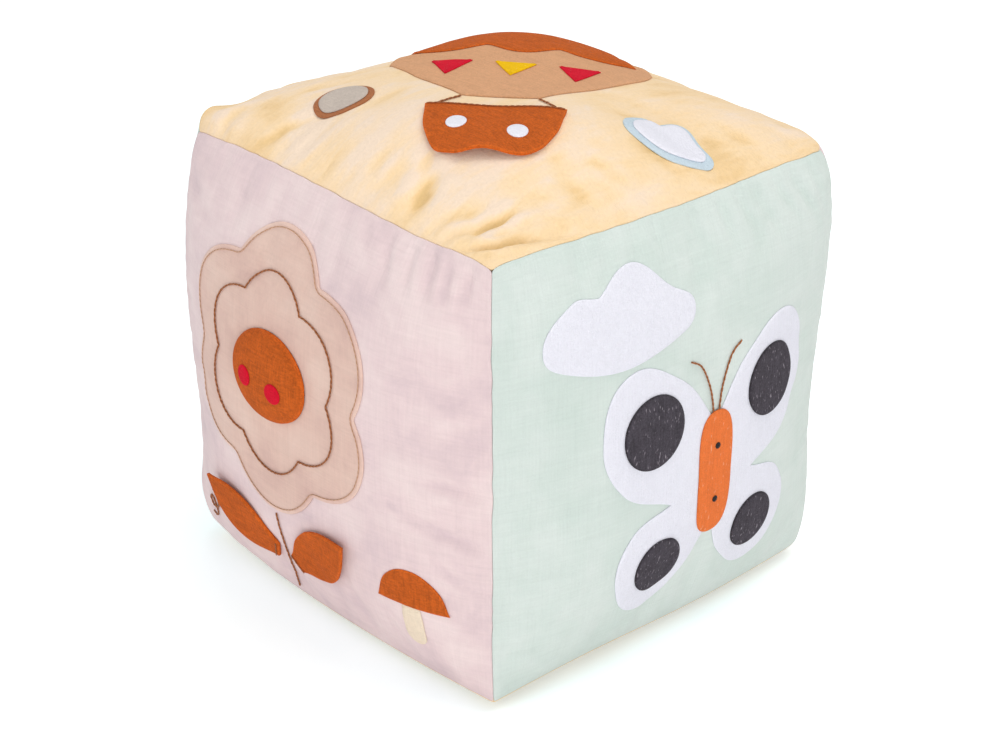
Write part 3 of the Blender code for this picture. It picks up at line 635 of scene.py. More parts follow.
def stroke_depths(across, up, depth, half_width, *points):
    """How far the cloth sinks at each place because of one stroke, all in mm."""
    ends = np.array(points, dtype=float).reshape(-1, 2)
    lengths = np.linalg.norm(np.diff(ends, axis=0), axis=1)
    best = np.full(len(across), np.inf)
    travelled = np.zeros(len(across))
    for k, length in enumerate(lengths):
        along = (ends[k + 1] - ends[k]) / length
        relative = np.stack([across, up], axis=1) - ends[k]
        at = np.clip(relative @ along, 0, length)
        distance = np.linalg.norm(relative - at[:, None] * along, axis=1)
        closer = distance < best
        best = np.where(closer, distance, best)
        travelled = np.where(closer, lengths[:k].sum() + at, travelled)
    share = travelled / lengths.sum()
    tapered = np.minimum(1, (1 - share) / fading) * np.minimum(1, start_depth + share / deepening)
    lips = bell(best - lip_place * half_width, lip_width * half_width)
    return depth * tapered * (bell(best, half_width) - lip_height * lips)


for side, drawn in strokes.items():
    mesh = panels[side].data
    places = to_side(side, read_points(mesh))
    flat = flat_on_side(side, read_points(mesh, "flat_place")) * in_mm
    border = np.clip((stroke_end - np.abs(flat[:, :2]).max(axis=1)) / stroke_end_fade, 0, 1)
    for stroke in drawn:
        places[:, 2] -= stroke_depths(flat[:, 0], flat[:, 1], *stroke) * border * mm
    write_points(mesh, from_side(side, places))
print("creases drawn on", list(strokes))

# %% [markdown]
# ## Shoulders
# A tight seam sinks into the stuffing, and the cloth rolls over on both sides of it. A bell-shaped pull
# towards the inside rounds the cloth beside the seam.

# %% Rounded shoulders along the seams
seam_sink = 0.0005
shoulder_width = 0.0026
for side, piece in panels.items():
    local = flat_on_side(side, read_points(piece.data, "flat_place"))
    shares = bell(block_half - np.abs(local[:, :2]), shoulder_width)
    pull = np.column_stack([-np.sign(local[:, :2]) * shares, -shares.max(axis=1)])
    if side == "bottom":
        pull[:, 2] = 0
    places = to_side(side, read_points(piece.data)) + pull * seam_sink / math.sqrt(2)
    write_points(piece.data, from_side(side, places))
print("seams sunk by", seam_sink * in_mm, "mm")

# %% [markdown]
# ## Measuring the cloth
# The felt shapes lie on folded cloth, so its height has to be known everywhere. A grid of rays is shot
# at each panel from outside, and the heights where they hit are kept as a field that is quick to read.

# %% How high the cloth is
field_step = 0.00125
field_half = 0.0975
field_lines = np.arange(-field_half, field_half + field_step / 2, field_step)


def blurred(field, reach):
    """A field of heights with its bumps that are finer than the reach smoothed away."""
    count = max(2, math.ceil(2.5 * reach / field_step))
    weights = bell(np.arange(-count, count + 1) * field_step, reach)
    weights /= weights.sum()
    for axis in (0, 1):
        wide = np.pad(field, [(count, count) if k == axis else (0, 0) for k in (0, 1)], mode="edge")
        field = sum(w * np.take(wide, range(k, k + len(field_lines)), axis=axis) for k, w in enumerate(weights))
    return field


def measured_heights(side):
    """Heights of a panel over a grid in its side's frame, found with rays from outside."""
    mesh = panels[side].data
    places = to_side(side, read_points(mesh))
    tree = BVHTree.FromPolygons([tuple(p) for p in places], [tuple(polygon.vertices) for polygon in mesh.polygons])
    heights = np.full((len(field_lines), len(field_lines)), np.nan)
    for row, up in enumerate(field_lines):
        for column, across in enumerate(field_lines):
            hit = tree.ray_cast((across, up, 2 * block_half), (0, 0, -1))[0]
            if hit is not None:
                heights[row, column] = hit.z
    heights[np.isnan(heights)] = np.nanmin(heights)
    return heights


def read_field(field, across, up):
    """Reads a field of heights between its grid points."""
    last = len(field_lines) - 1.001
    x = np.clip((across + field_half) / field_step, 0, last)
    y = np.clip((up + field_half) / field_step, 0, last)
    column, row = x.astype(int), y.astype(int)
    x, y = x - column, y - row
    low = field[row, column] * (1 - x) + field[row, column + 1] * x
    high = field[row + 1, column] * (1 - x) + field[row + 1, column + 1] * x
    return low * (1 - y) + high * y


heights = {side: measured_heights(side) for side in side_names}
middle_line = len(field_lines) // 2
print("height in the middle, mm", {s: round(f[middle_line, middle_line] * in_mm, 1) for s, f in heights.items()})

# %% Hollows and ridges
# Felt bridges the finest creases of the cloth below it, so it is laid on a smoothed field of heights.
bridged, softened = 0.0022, 0.0010
# A hollow is where the height is below its surroundings: the reach of those, and of the place itself.
hollow_reaches = {"hollow": (0.006, 0.0015), "fine_hollow": (0.0026, 0.0008)}
hollows_end, hollows_fade = 0.094, 0.010
fields = {}
for side, measured in heights.items():
    fields[side] = blurred(np.maximum(measured, blurred(measured, bridged)), softened)
    mesh = panels[side].data
    places = to_side(side, read_points(mesh))
    inside = np.clip((hollows_end - np.abs(places[:, :2]).max(axis=1)) / hollows_fade, 0, 1)
    for name, (around, here) in hollow_reaches.items():
        # The materials read these depths to paint shade into the hollows.
        depths = (blurred(measured, around) - blurred(measured, here)) * in_mm
        keep_values(mesh, name, read_field(depths, places[:, 0], places[:, 1]) * inside)
    print("deepest fine hollow of the", side, "in mm", round(float(depths.max()), 2))

# %% How the pile of the top leans
# Pile that leans away looks creamy, and pile that leans this way looks golden. Hands and packing leave such
# spots: across and up in mm, reach in mm, and how far the pile leans away.
nap_spots = [(-34, -77, 16, 0.10), (8, -93, 16, 0.08), (42, -72, 18, 0.10), (87, -30, 14, 0.07), (-55, -82, 10, -0.08),
             (20, -81, 9, -0.07), (-74, -88, 16, -0.07), (42, -91, 7, -0.12), (78, -92, 14, -0.05), (91, 20, 20, -0.05)]
places = to_side("top", read_points(panels["top"].data))
pile_lean = sum(amount * hump_at(places[:, 0], places[:, 1], hump) for *hump, amount in nap_spots)
keep_values(panels["top"].data, "pile_lean", pile_lean)
print("pile leans from", round(float(pile_lean.min()), 3), "to", round(float(pile_lean.max()), 3))

# %% [markdown]
# ## Thickness
# The panels are still surfaces without a thickness. Solidify gives them the real 0.9 mm, towards the inside,
# so that the measured outer surface stays where it is.

# %% Thickness of the cloth
cloth_thickness = 0.0009
for piece in panels.values():
    apply_modifier(piece, "SOLIDIFY", thickness=cloth_thickness, offset=-1)
print("faces of a thick panel", len(panels["top"].data.polygons))

# %% [markdown]
# ## Cloth, felt and thread
# Five kinds of cloth make up the block. The top is a short-pile plush: its pile leans this way and that,
# so it shows soft patches of cream and gold. The other sides are brushed cotton, with a fine weave under
# a thin nap. The sewn shapes are craft felt, pressed from loose fibres, and one is a thin woven cotton.
# The lines are embroidered in a two-strand thread. Each is built from patterns at their real size, and
# the scale of a noise is one over that size in metres.

# %% Plush
def pattern_place(add, attribute=None):
    """The place that a pattern is drawn from: the object's own, or a flat place kept on the cloth."""
    if attribute is None:
        return add("TexCoord").outputs["Object"]
    return add("Attribute", attribute_name=attribute).outputs["Vector"]


def new_material(name, roughness):
    made = bpy.data.materials.new(name)
    made.use_nodes = True
    shader = made.node_tree.nodes["Principled BSDF"]
    set_sockets(shader, {"Roughness": roughness, "Specular IOR Level": 0.25})
    return made, partial(add_node, made.node_tree), shader


def painted_shade_in_hollows(add, level, shares):
    """Painted shade: a level of brightness, lowered by a share of the depth of the broad and of the fine hollows."""
    for name, share in zip(hollow_reaches, shares):
        depth = add("Attribute", attribute_name=name).outputs["Fac"]
        level = add("Math", {0: depth, 1: -share, 2: level}, operation="MULTIPLY_ADD")
    return level


def crossed_lines(add, place, stretches, scale, detail):
    """Two noises, each of them stretched into lines its own way, added together."""
    lines = []
    for stretch in stretches:
        along = add("Mapping", {"Vector": place, "Scale": stretch})
        lines.append(add("TexNoise", {"Vector": along, "Scale": scale, "Detail": detail, "Roughness": 0.5}))
    return add("Math", {0: lines[0], 1: lines[1]}, operation="ADD")


def painted_light_at_edge(add, tone, painted_edge_light, start, end):
    """A tone multiplied at the cut edge, as painted highlight and shade there. It fades between two distances from it,
    in mm.
    """
    edge = add("Attribute", attribute_name="from_edge").outputs["Fac"]
    near = add("MapRange", {"Value": edge, "From Min": start, "From Max": end, "To Min": painted_edge_light, "To Max": 1.0})
    return add("Math", {0: tone, 1: near}, operation="MULTIPLY")


def plush(name, deep, gold, butter, cream, rose):
    """Short-pile polyester plush: soft patches where the pile leans, painted shade in the hollows, a faint sheen."""
    made, add, shader = new_material(name, 0.92)
    place = pattern_place(add, "flat_place")
    # Patches about 45 mm across and half as long again.
    turned = add("Mapping", {"Vector": place, "Rotation": (0, 0, 0.35), "Scale": (1.0, 0.55, 1.0)})
    patches = add("TexNoise", {"Vector": turned, "Scale": 22.0, "Detail": 6.0, "Roughness": 0.58,
                               "Distortion": 0.9})
    # Brush marks in the pile, 6 mm wide and 25 mm long.
    brushed = add("Mapping", {"Vector": place, "Rotation": (0, 0, -0.25), "Scale": (1.0, 0.26, 1.0)})
    marks = add("TexNoise", {"Vector": brushed, "Scale": 150.0, "Detail": 4.0, "Roughness": 0.6,
                             "Distortion": 0.5})
    # Tufts of pile, about 1.5 mm.
    tufts = add("TexNoise", {"Vector": place, "Scale": 650.0, "Detail": 3.0, "Roughness": 0.65})
    lean = add("Math", {0: marks, 1: 0.55, 2: patches}, operation="MULTIPLY_ADD")
    spots = add("Attribute", attribute_name="pile_lean").outputs["Fac"]
    lean = add("Math", {0: spots, 1: 1.4, 2: lean}, operation="MULTIPLY_ADD")
    # Painted shade: the hollows of the cloth are painted darker and more golden.
    with_painted_shade = painted_shade_in_hollows(add, lean, (0.16, 0.30))
    level = add("Math", {0: with_painted_shade, 1: 0.80, 2: -0.12}, operation="MULTIPLY_ADD")
    tone = add("ValToRGB", {"Fac": level}, stops=[(0.24, deep), (0.36, gold), (0.46, butter), (0.56, cream),
                                                  (0.68, rose)])
    speck = add("MapRange", {"Value": tufts, "From Min": 0.3, "From Max": 0.7, "To Min": 0.955,
                             "To Max": 1.035})
    colour = add("VectorMath", {0: tone, 1: speck}, operation="MULTIPLY")
    pile = add("Math", {0: marks, 1: 0.9, 2: tufts}, operation="MULTIPLY_ADD")
    bump = add("Bump", {"Strength": 0.4, "Distance": 0.0010, "Height": pile})
    set_sockets(shader, {"Base Color": colour, "Normal": bump, "Sheen Weight": 0.15, "Sheen Roughness": 0.45})
    return made


materials = {"butter_plush": plush("butter_plush", "E2C18A", "EFCF9C", "F6DAAF", "F7DEBB", "F4E0CA")}
print("made", list(materials))


# %% [markdown]
# ## Brushed cotton for the sides
# The sides are woven cotton, brushed to a thin nap, so the weave shows only faintly. Two stretched noises
# stand for the threads of warp and weft, which looks less printed than a checked pattern would.

# %% Brushed cotton
thread_gap = 0.0009


def brushed_cotton(name, shade, plain, light, patch_size, grain, attribute="flat_place", painted_edge_light=1.0):
    """Woven cotton with a thin nap: soft mottling, faint threads both ways, a touch of painted shade in the creases."""
    made, add, shader = new_material(name, 0.95)
    place = pattern_place(add, attribute)
    mottling = add("TexNoise", {"Vector": place, "Scale": 1 / patch_size, "Detail": 5.0, "Roughness": 0.62,
                                "Distortion": 0.3})
    # Painted shade: the creases are painted a touch darker.
    with_painted_shade = painted_shade_in_hollows(add, mottling, (0.05, 0.16))
    tone = add("ValToRGB", {"Fac": with_painted_shade}, stops=[(0.30, shade), (0.50, plain), (0.68, light)])
    # The real weave is finer than the picture shows, so its threads are drawn wider apart, at thread_gap.
    weave = crossed_lines(add, place, ((1.0, 1.0, 0.04), (0.04, 0.04, 1.0)), 1 / thread_gap, 2.0)
    nap = add("TexNoise", {"Vector": place, "Scale": 1100.0, "Detail": 3.0, "Roughness": 0.7})
    grainy = add("Math", {0: nap, 1: grain, 2: weave}, operation="MULTIPLY_ADD")
    speck = add("MapRange", {"Value": grainy, "From Min": 0.6 + 0.25 * grain, "From Max": 1.4 + 0.75 * grain,
                             "To Min": 0.93, "To Max": 1.05})
    if painted_edge_light != 1.0:
        # Outside its row of stitches the raised edge of the cloth is painted paler, as a painted highlight.
        speck = painted_light_at_edge(add, speck, painted_edge_light, 1.7, 2.3)
    colour = add("VectorMath", {0: tone, 1: speck}, operation="MULTIPLY")
    bump = add("Bump", {"Strength": 0.35, "Distance": 0.0004, "Height": grainy})
    set_sockets(shader, {"Base Color": colour, "Normal": bump, "Sheen Weight": 0.25, "Sheen Roughness": 0.6})
    return made


# The peach cotton also gives the place its pattern is drawn from, and a painted highlight at its edge.
cottons = {  # shade, plain and light colour, size of its mottling in metres, strength of its nap
    "pink_cotton": ("D8C4C9", "E5D1D3", "ECDBDB", 0.026, 0.7),
    "mint_cotton": ("CBDBD5", "D1DFDA", "D7E3DF", 0.030, 1.1),
    "peach_cotton": ("D2B0A6", "DEBFB2", "E4C9BC", 0.030, 0.5, None, 1.07),
}
for name, settings in cottons.items():
    materials[name] = brushed_cotton(name, *settings)
print("made", list(materials))


# %% [markdown]
# ## Craft felt
# Craft felt is pressed polyester fibre, 1 mm thick. It has no weave: one sees short fibres in all
# directions, a matt surface, and a soft edge where scissors cut it. Dark felts also show paler fibres.

# %% Felt
def craft_felt(name, written, painted_edge_light=1.0, contrast=0.10, flecks=None, fuzz=0.2):
    """Craft felt: matt, pressed from loose fibres that lie every way, with painted highlight and shade at a cut edge.
    """
    made, add, shader = new_material(name, 0.97)
    place = pattern_place(add)
    # The rollers of the felt machine leave faint lines, 0.8 mm apart, one way across the sheet.
    rolled = crossed_lines(add, place, ((1.0, 1.0, 0.06), (0.06, 1.0, 1.0)), 1250.0, 1.0)
    # Fibres as drawn are 0.7 mm apart, and they curl round each other in tangles of about 3 mm.
    strands = add("TexNoise", {"Vector": place, "Scale": 1400.0, "Detail": 3.0, "Roughness": 0.7})
    tangles = add("TexNoise", {"Vector": place, "Scale": 340.0, "Detail": 3.0, "Roughness": 0.65,
                               "Distortion": 2.5})
    fibres = add("Math", {0: strands, 1: tangles}, operation="ADD")
    clumps = add("TexNoise", {"Vector": place, "Scale": 190.0, "Detail": 4.0, "Roughness": 0.65})
    depth = add("Math", {0: clumps, 1: 0.8, 2: fibres}, operation="MULTIPLY_ADD")
    depth = add("Math", {0: rolled, 1: 0.9, 2: depth}, operation="MULTIPLY_ADD")
    shade = add("MapRange", {"Value": depth, "From Min": 1.9, "From Max": 2.7, "To Min": 1 - contrast,
                             "To Max": 1 + contrast})
    # Painted highlight and shade: the cut edge is painted lighter or darker.
    both = painted_light_at_edge(add, shade, painted_edge_light, 0.15, 0.9)
    colour = add("VectorMath", {0: srgb(written)[:3], 1: both}, operation="MULTIPLY")
    if flecks is not None:
        # Stray pale fibres, about 0.5 mm by 2 mm, on a few hundredths of the felt.
        along = add("Mapping", {"Vector": place, "Rotation": (0.2, 0.1, 0.4), "Scale": (1.0, 1.0, 0.35)})
        stray = add("TexNoise", {"Vector": along, "Scale": 1050.0, "Detail": 1.0})
        shown = add("MapRange", {"Value": stray, "From Min": 0.66, "From Max": 0.75, "To Min": 0.0,
                                 "To Max": 0.65})
        colour = add("Mix", {"Factor": shown, "A": colour.outputs[0], "B": srgb(flecks)},
                     data_type="RGBA").outputs["Result"]
    bump = add("Bump", {"Strength": 0.6, "Distance": 0.0005, "Height": depth})
    set_sockets(shader, {"Base Color": colour, "Normal": bump, "Sheen Weight": fuzz, "Sheen Roughness": 0.5,
                         "Sheen Tint": srgb(written)})
    return made


# The brightness of a cut edge is painted light: above 1 a painted highlight, below 1 painted shade.
felts = {  # colour, brightness of its cut edge, contrast of its fibres, colour of stray fibres, sheen
    "tan_felt": ("D9A67E", 0.95, 0.11),
    "rust_felt": ("BF5B1C", 1.22, 0.24),
    "red_felt": ("D20A2C", 1.05),
    "yellow_felt": ("F5C400", 1.0, 0.07),
    "white_felt": ("EAECF7", 1.04, 0.035),
    "pale_blue_felt": ("C8DAE6", 1.0, 0.05),
    "grey_tan_felt": ("C6BBB1", 0.95, 0.07),
    "brown_felt": ("A96D48",),
    "charcoal_felt": ("454149", 0.66, 0.34, "A39CA6", 0.1),
    "orange_felt": ("E9793C", 0.92, 0.10, "F8B48C"),
    "cream_felt": ("F0E2CC", 1.0, 0.05),
}
for name, settings in felts.items():
    materials[name] = craft_felt(name, *settings)
print("made", len(materials), "cloths")


# %% [markdown]
# ## Embroidery thread and fibre
# Cotton thread has a silky shine along its strands, so it is a little smoother than cloth, and has painted
# shade in the groove between its strands. The stuffing is plain white polyester fibre.

# %% Thread and stuffing
def twisted_thread(name, groove_shade, light):
    """Cotton embroidery thread: two glossy strands, with painted shade in the groove between them."""
    made, add, shader = new_material(name, 0.55)
    strand = add("Attribute", attribute_name="strand").outputs["Fac"]
    fibres = add("TexNoise", {"Vector": pattern_place(add), "Scale": 2200.0, "Detail": 2.0})
    mixed = add("Math", {0: fibres, 1: 0.5, 2: strand}, operation="MULTIPLY_ADD")
    tone = add("ValToRGB", {"Fac": mixed}, stops=[(0.35, groove_shade), (1.0, light)])
    bump = add("Bump", {"Strength": 0.4, "Distance": 0.0002, "Height": fibres})
    set_sockets(shader, {"Base Color": tone, "Normal": bump})
    return made


def loose_fibre(name, written):
    """Polyester filling: a springy white tangle, seen only if a seam opens."""
    made, add, shader = new_material(name, 0.9)
    tangle = add("TexNoise", {"Vector": pattern_place(add), "Scale": 260.0, "Detail": 6.0, "Roughness": 0.7,
                              "Distortion": 2.0})
    tone = add("MapRange", {"Value": tangle, "To Min": 0.85, "To Max": 1.05})
    colour = add("VectorMath", {0: srgb(written)[:3], 1: tone}, operation="MULTIPLY")
    bump = add("Bump", {"Strength": 0.8, "Distance": 0.002, "Height": tangle})
    set_sockets(shader, {"Base Color": colour, "Normal": bump})
    return made


# Each thread: the colour of the painted shade in its groove, and the colour of its strands.
threads = {"brown_thread": ("5A3420", "A8693F"), "tan_thread": ("9C7458", "C9A184"),
           "black_thread": ("1E1B1E", "4A464C")}
for name, (groove_shade, light) in threads.items():
    materials[name] = twisted_thread(name, groove_shade, light)
materials["fibre"] = loose_fibre("polyester_fibre", "F4F2EC")
panel_cloths = {"top": "butter_plush", "bottom": "butter_plush", "front": "pink_cotton", "back": "pink_cotton",
                "right": "mint_cotton", "left": "mint_cotton"}
for side, piece in panels.items():
    piece.data.materials.append(materials[panel_cloths[side]])
stuffing.data.materials.clear()
stuffing.data.materials.append(materials["fibre"])
print("made", len(materials), "materials")

# %% [markdown]
# ## Laying felt on the block
# The sewn shapes follow the swollen cloth below them. A real maker cuts a flat shape and sews it down
# before the block is stuffed. Here the shape is drawn flat as well, cut into a fine grid so that it can
# bend, and then each of its points is put above the cloth, whose height is read from the measured field.

# %% Places above the cloth
clearance = 0.00014


def above_cloth(side, across, up, rise):
    """Places at a height above a side's cloth, along the cloth's own normal, in the block's frame."""
    field = fields[side]
    across = np.asarray(across, dtype=float)
    up = np.asarray(up, dtype=float)
    near = 2 * field_step
    lean_across = (read_field(field, across + near, up) - read_field(field, across - near, up)) / (2 * near)
    lean_up = (read_field(field, across, up + near) - read_field(field, across, up - near)) / (2 * near)
    out = np.stack([-lean_across, -lean_up, np.ones_like(across)], axis=-1)
    out /= np.linalg.norm(out, axis=-1, keepdims=True)
    base = np.stack([across, up, read_field(field, across, up)], axis=-1)
    return from_side(side, base + out * np.asarray(rise)[..., None])


def spot(side, across, up, turn=0.0):
    """Where a drawing lies on a side: across and up in metres, and how far it is turned."""
    return {"side": side, "across": across, "up": up, "turn": turn}


def on_side(placed, x, y):
    cosine = math.cos(placed["turn"])
    sine = math.sin(placed["turn"])
    return placed["across"] + x * cosine - y * sine, placed["up"] + x * sine + y * cosine


def within(placed, x, y, turn=0.0):
    """The spot of a smaller drawing that stands at x, y of another one."""
    return spot(placed["side"], *on_side(placed, x, y), placed["turn"] + turn)


def rise_on(*layers):
    """The height of a piece that lies on the layers named, one over another."""
    return clearance + sum(layer + clearance for layer in layers)


print("a spot on the top", [round(c, 4) for c in above_cloth("top", 0.0, 0.0, rise_on())])

# %% [markdown]
# ## Cutting
# An outline is drawn as a smooth curve and made a mesh. A plain filled circle of as many points takes
# its form, is extruded upwards in small steps to round the cut edge, and is bisected into a grid.

# %% Cutting a shape out of felt
pointed = True
outline_step = 0.0011
# The grid that lets a shape bend: for flat ones, for domed ones and for small dots.
drape_step, close_step, fine_step = 0.0020, 0.0012, 0.001
# Each profile is the cut edge from below to above: a share of the thickness, and how far inside it lies in mm.
felt_profile = [(0.00, 0.00), (0.62, 0.00), (0.90, 0.14), (1.00, 0.42)]
pressed_profile = [(0.00, 0.00), (0.34, 0.00), (0.52, 0.20), (0.74, 0.70), (0.90, 1.25), (1.00, 1.90)]
cotton_profile = [(0.00, 0.00), (0.60, 0.00), (1.00, 0.16)]
double_profile = [(0.00, 0.10), (0.10, 0.00), (0.38, 0.00), (0.48, 0.22), (0.54, 0.22), (0.62, 0.02),
                  (0.86, 0.02), (0.96, 0.16), (1.00, 0.42)]
# The way inwards is made longer at a sharp corner, as in a mitre, but no longer than this bend asks for. A
# point moves inwards by this share of the way to where it meets its neighbours.
sharpest_bend = 0.55
inset_share = 0.85


def even_path(path, step, closed=False):
    """The same path with its points at even steps."""
    points = np.array(list(path) + ([path[0]] if closed else []))
    travelled = np.concatenate([[0], np.cumsum(np.linalg.norm(np.diff(points, axis=0), axis=1))])
    at = np.linspace(0, travelled[-1], max(2, round(travelled[-1] / step)) + 1)
    at = at[:-1] if closed else at
    return np.column_stack([np.interp(at, travelled, points[:, 0]), np.interp(at, travelled, points[:, 1])])


def outline_points(shares, size):
    """Points along a drawn outline: a smooth one through the points given, with corners at the pointed ones."""
    curve = bpy.data.curves.new("outline", "CURVE")
    curve.dimensions = "3D"
    curve.resolution_u = 24
    spline = curve.splines.new("BEZIER")
    spline.bezier_points.add(len(shares) - 1)
    drawn_points = [(x * size[0], y * size[1]) for x, y, *_ in shares]
    for point, place, (_, _, *corner) in zip(spline.bezier_points, drawn_points, shares):
        point.co = (*place, 0)
        point.handle_left_type = point.handle_right_type = "VECTOR" if corner else "AUTO"
    spline.use_cyclic_u = True
    drawn = bpy.data.objects.new("outline", curve)
    bpy.context.scene.collection.objects.link(drawn)
    pick_only(drawn)
    bpy.ops.object.convert(target="MESH")
    fine = read_points(drawn.data)[:, :2]
    bpy.data.objects.remove(drawn)
    corners = [int(np.argmin(np.sum((fine - point) ** 2, axis=1))) for point in drawn_points]
    parts = [fine[np.arange(start, end + 1) % len(fine)] for start, end in zip(corners, corners[1:] + [len(fine)])]
    return np.concatenate([even_path(part, outline_step)[:-1] for part in parts])


def signed_area(outline):
    """The area of an outline, above zero where it is drawn anticlockwise."""
    x, y = outline.T
    return np.sum(x * np.roll(y, -1) - y * np.roll(x, -1)) / 2


def inward_normals(outline):
    """At each point of an outline, the way into the shape, made longer at sharp corners."""
    ahead = np.roll(outline, -1, axis=0) - outline
    behind = outline - np.roll(outline, 1, axis=0)
    ahead /= np.linalg.norm(ahead, axis=1, keepdims=True)
    behind /= np.linalg.norm(behind, axis=1, keepdims=True)
    hand = 1 if signed_area(outline) > 0 else -1
    left = np.stack([-(ahead + behind)[:, 1], (ahead + behind)[:, 0]], axis=1) * hand
    left /= np.maximum(np.linalg.norm(left, axis=1, keepdims=True), 1e-9)
    bend = np.sum(left * np.stack([-ahead[:, 1], ahead[:, 0]], axis=1) * hand, axis=1)
    return left / np.clip(bend, sharpest_bend, 1)[:, None]


def inset_limits(outline):
    """How far inwards each outline point may move before it meets its neighbours."""
    way = inward_normals(outline)
    way /= np.linalg.norm(way, axis=1, keepdims=True)
    apart = outline[None] - outline[:, None]
    facing = np.einsum("ijk,ik->ij", apart, way)
    radius = np.where(facing > 1e-8, np.sum(apart ** 2, axis=2) / np.maximum(2 * facing, 1e-12), 1.0)
    return inset_share * radius.min(axis=1)


def keep_edge_distance(piece, outline):
    """Keeps how far each point is from the cut edge, in mm, for the material to read."""
    places = read_points(piece.data)[:, :2]
    along = np.roll(outline, -1, axis=0) - outline
    share = np.einsum("nkd,kd->nk", places[:, None] - outline[None], along) / np.sum(along ** 2, axis=1)
    foot = outline[None] + np.clip(share, 0, 1)[..., None] * along[None]
    distance = np.sqrt(np.min(np.sum((places[:, None] - foot) ** 2, axis=2), axis=1))
    keep_values(piece.data, "from_edge", distance * in_mm)


def name_new(name):
    """Names the object that an operator has just added, and its mesh."""
    made = bpy.context.object
    made.name = made.data.name = name
    return made


def cut_shape(name, outline, thickness, profile, step):
    """A flat piece of felt: the outline, given a thickness with a rounded edge, and cut into a grid."""
    pick_only()
    bpy.ops.mesh.primitive_circle_add(vertices=len(outline), fill_type="NGON", location=(0, 0, 0))
    piece = name_new(name)
    write_points(piece.data, np.column_stack([outline, np.zeros(len(outline))]))
    with editing():
        for (low, _), (high, _) in zip(profile, profile[1:]):
            bpy.ops.mesh.extrude_region_move(TRANSFORM_OT_translate={"value": (0, 0, (high - low) * thickness)})
    places = read_points(piece.data)
    nearest = np.argmin(np.sum((places[:, None, :2] - outline[None]) ** 2, axis=2), axis=1)
    inset = np.interp(places[:, 2] / thickness, [z for z, _ in profile], [i for _, i in profile]) * mm
    inset = np.minimum(inset, inset_limits(outline)[nearest])
    places[:, :2] += inward_normals(outline)[nearest] * inset[:, None]
    write_points(piece.data, places)
    with editing():
        bpy.ops.mesh.normals_make_consistent(inside=False)
        for axis, normal in ((0, (1, 0, 0)), (1, (0, 1, 0))):
            low, high = outline[:, axis].min(), outline[:, axis].max()
            for line in np.arange(low + step / 2, high - step / 4, step):
                bpy.ops.mesh.select_all(action="SELECT")
                bpy.ops.mesh.bisect(plane_co=[n * line for n in normal], plane_no=normal)
    keep_edge_distance(piece, outline)
    bpy.ops.object.shade_smooth()
    return piece


print("the sewn edge is pressed over", pressed_profile[-1][1], "mm")

# %% [markdown]
# ## Laying and sewing down
# Every point of the flat shape goes to its place on the side, at its height above the cloth. For a shape
# that is big enough, its flat area as a sheet is worked out.
# A flap is one mesh, because two rigid pieces would tear apart when it is lifted. It is left where it
# lies, and is attached to no body.

# %% Laying a shape down
smallest_sheet = 0.010
smallest_filling = 0.31


def declare_sheet(outline):
    """Works out the flat area of a shape, if it is big enough to be counted as a sheet of cloth."""
    width, length = np.ptp(outline, axis=0)
    area = abs(signed_area(outline))
    if min(width, length) >= smallest_sheet and area >= smallest_filling * width * length:
        area = min(area, width * length)


def felt_shape(name, nodes, material, placed, drawn, size=None, on=None, rise=None, thickness=felt_thickness,
               profile=pressed_profile, step=drape_step, lift=None, body="block", hinge=None, padded=False):
    """A shape cut out, laid on its side or on another felt, and sewn down. Drawn points without a size are in
    metres already. With a hinge the shape stays where it lies and is attached to no body; the hinge's
    ends and height are worked out but not used."""
    outline = drawn if size is None else outline_points(drawn, size)
    piece = cut_shape(name, outline, thickness, profile, step)
    if rise is None:
        rise = rise_on(felt_thickness) if on else rise_on()
    places = read_points(piece.data)
    height = places[:, 2] + rise
    if lift is not None:
        height = height + lift(places[:, 0], places[:, 1])
    across, up = on_side(placed, places[:, 0], places[:, 1])
    write_points(piece.data, above_cloth(placed["side"], across, up, height))
    piece.data.materials.append(materials[material])
    if hinge:
        *ends, hinge_rise = hinge
        start, end = (above_cloth(placed["side"], *on_side(placed, 0.0, y), hinge_rise) for y in ends)
        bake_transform(piece)
    else:
        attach(piece, body)
    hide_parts(*nodes.split())
    if padded:
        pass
    else:
        declare_sheet(outline)
    print(name, len(piece.data.polygons), "faces")


# %% [markdown]
# ## Rows of stitches
# The lines on the block are back stitches in a two-strand thread. A plain grid is rolled up round the
# line to make a tube, its cross-section turns along the way, and it dips into the cloth at each stitch.

# %% Embroidery thread
thread_thickness = 0.0009
stitch_length = 0.0042
thread_step = 0.00032
ring_points = 10
ply_pitch = 0.0024
# The thread's middle lies at a share of its thickness above the cloth, and higher between the stitches.
sunk_share, raised_share = 0.30, 0.22
# The radius of the round thread, of its two lobes, and how much of it stays where a stitch pulls it in.
core_share, lobe_share, pulled_share = 0.62, 0.40, 0.80


def smooth_path(points, size=1, steps=6):
    """Points on a smooth curve through the points given, which are shares of the size."""
    points = [(x * size, y * size) for x, y in points]
    path = []
    ends = [points[0]] + points + [points[-1]]
    for a, b, c, d in zip(ends, ends[1:], ends[2:], ends[3:]):
        for step in range(steps):
            t = step / steps
            weights = ((-t + 2 * t**2 - t**3) / 2, (2 - 5 * t**2 + 3 * t**3) / 2,
                       (t + 4 * t**2 - 3 * t**3) / 2, (t**3 - t**2) / 2)
            path.append(tuple(sum(w * p[k] for w, p in zip(weights, (a, b, c, d))) for k in (0, 1)))
    return path + [tuple(points[-1])]


def unit(ways):
    return ways / np.linalg.norm(ways, axis=1, keepdims=True)


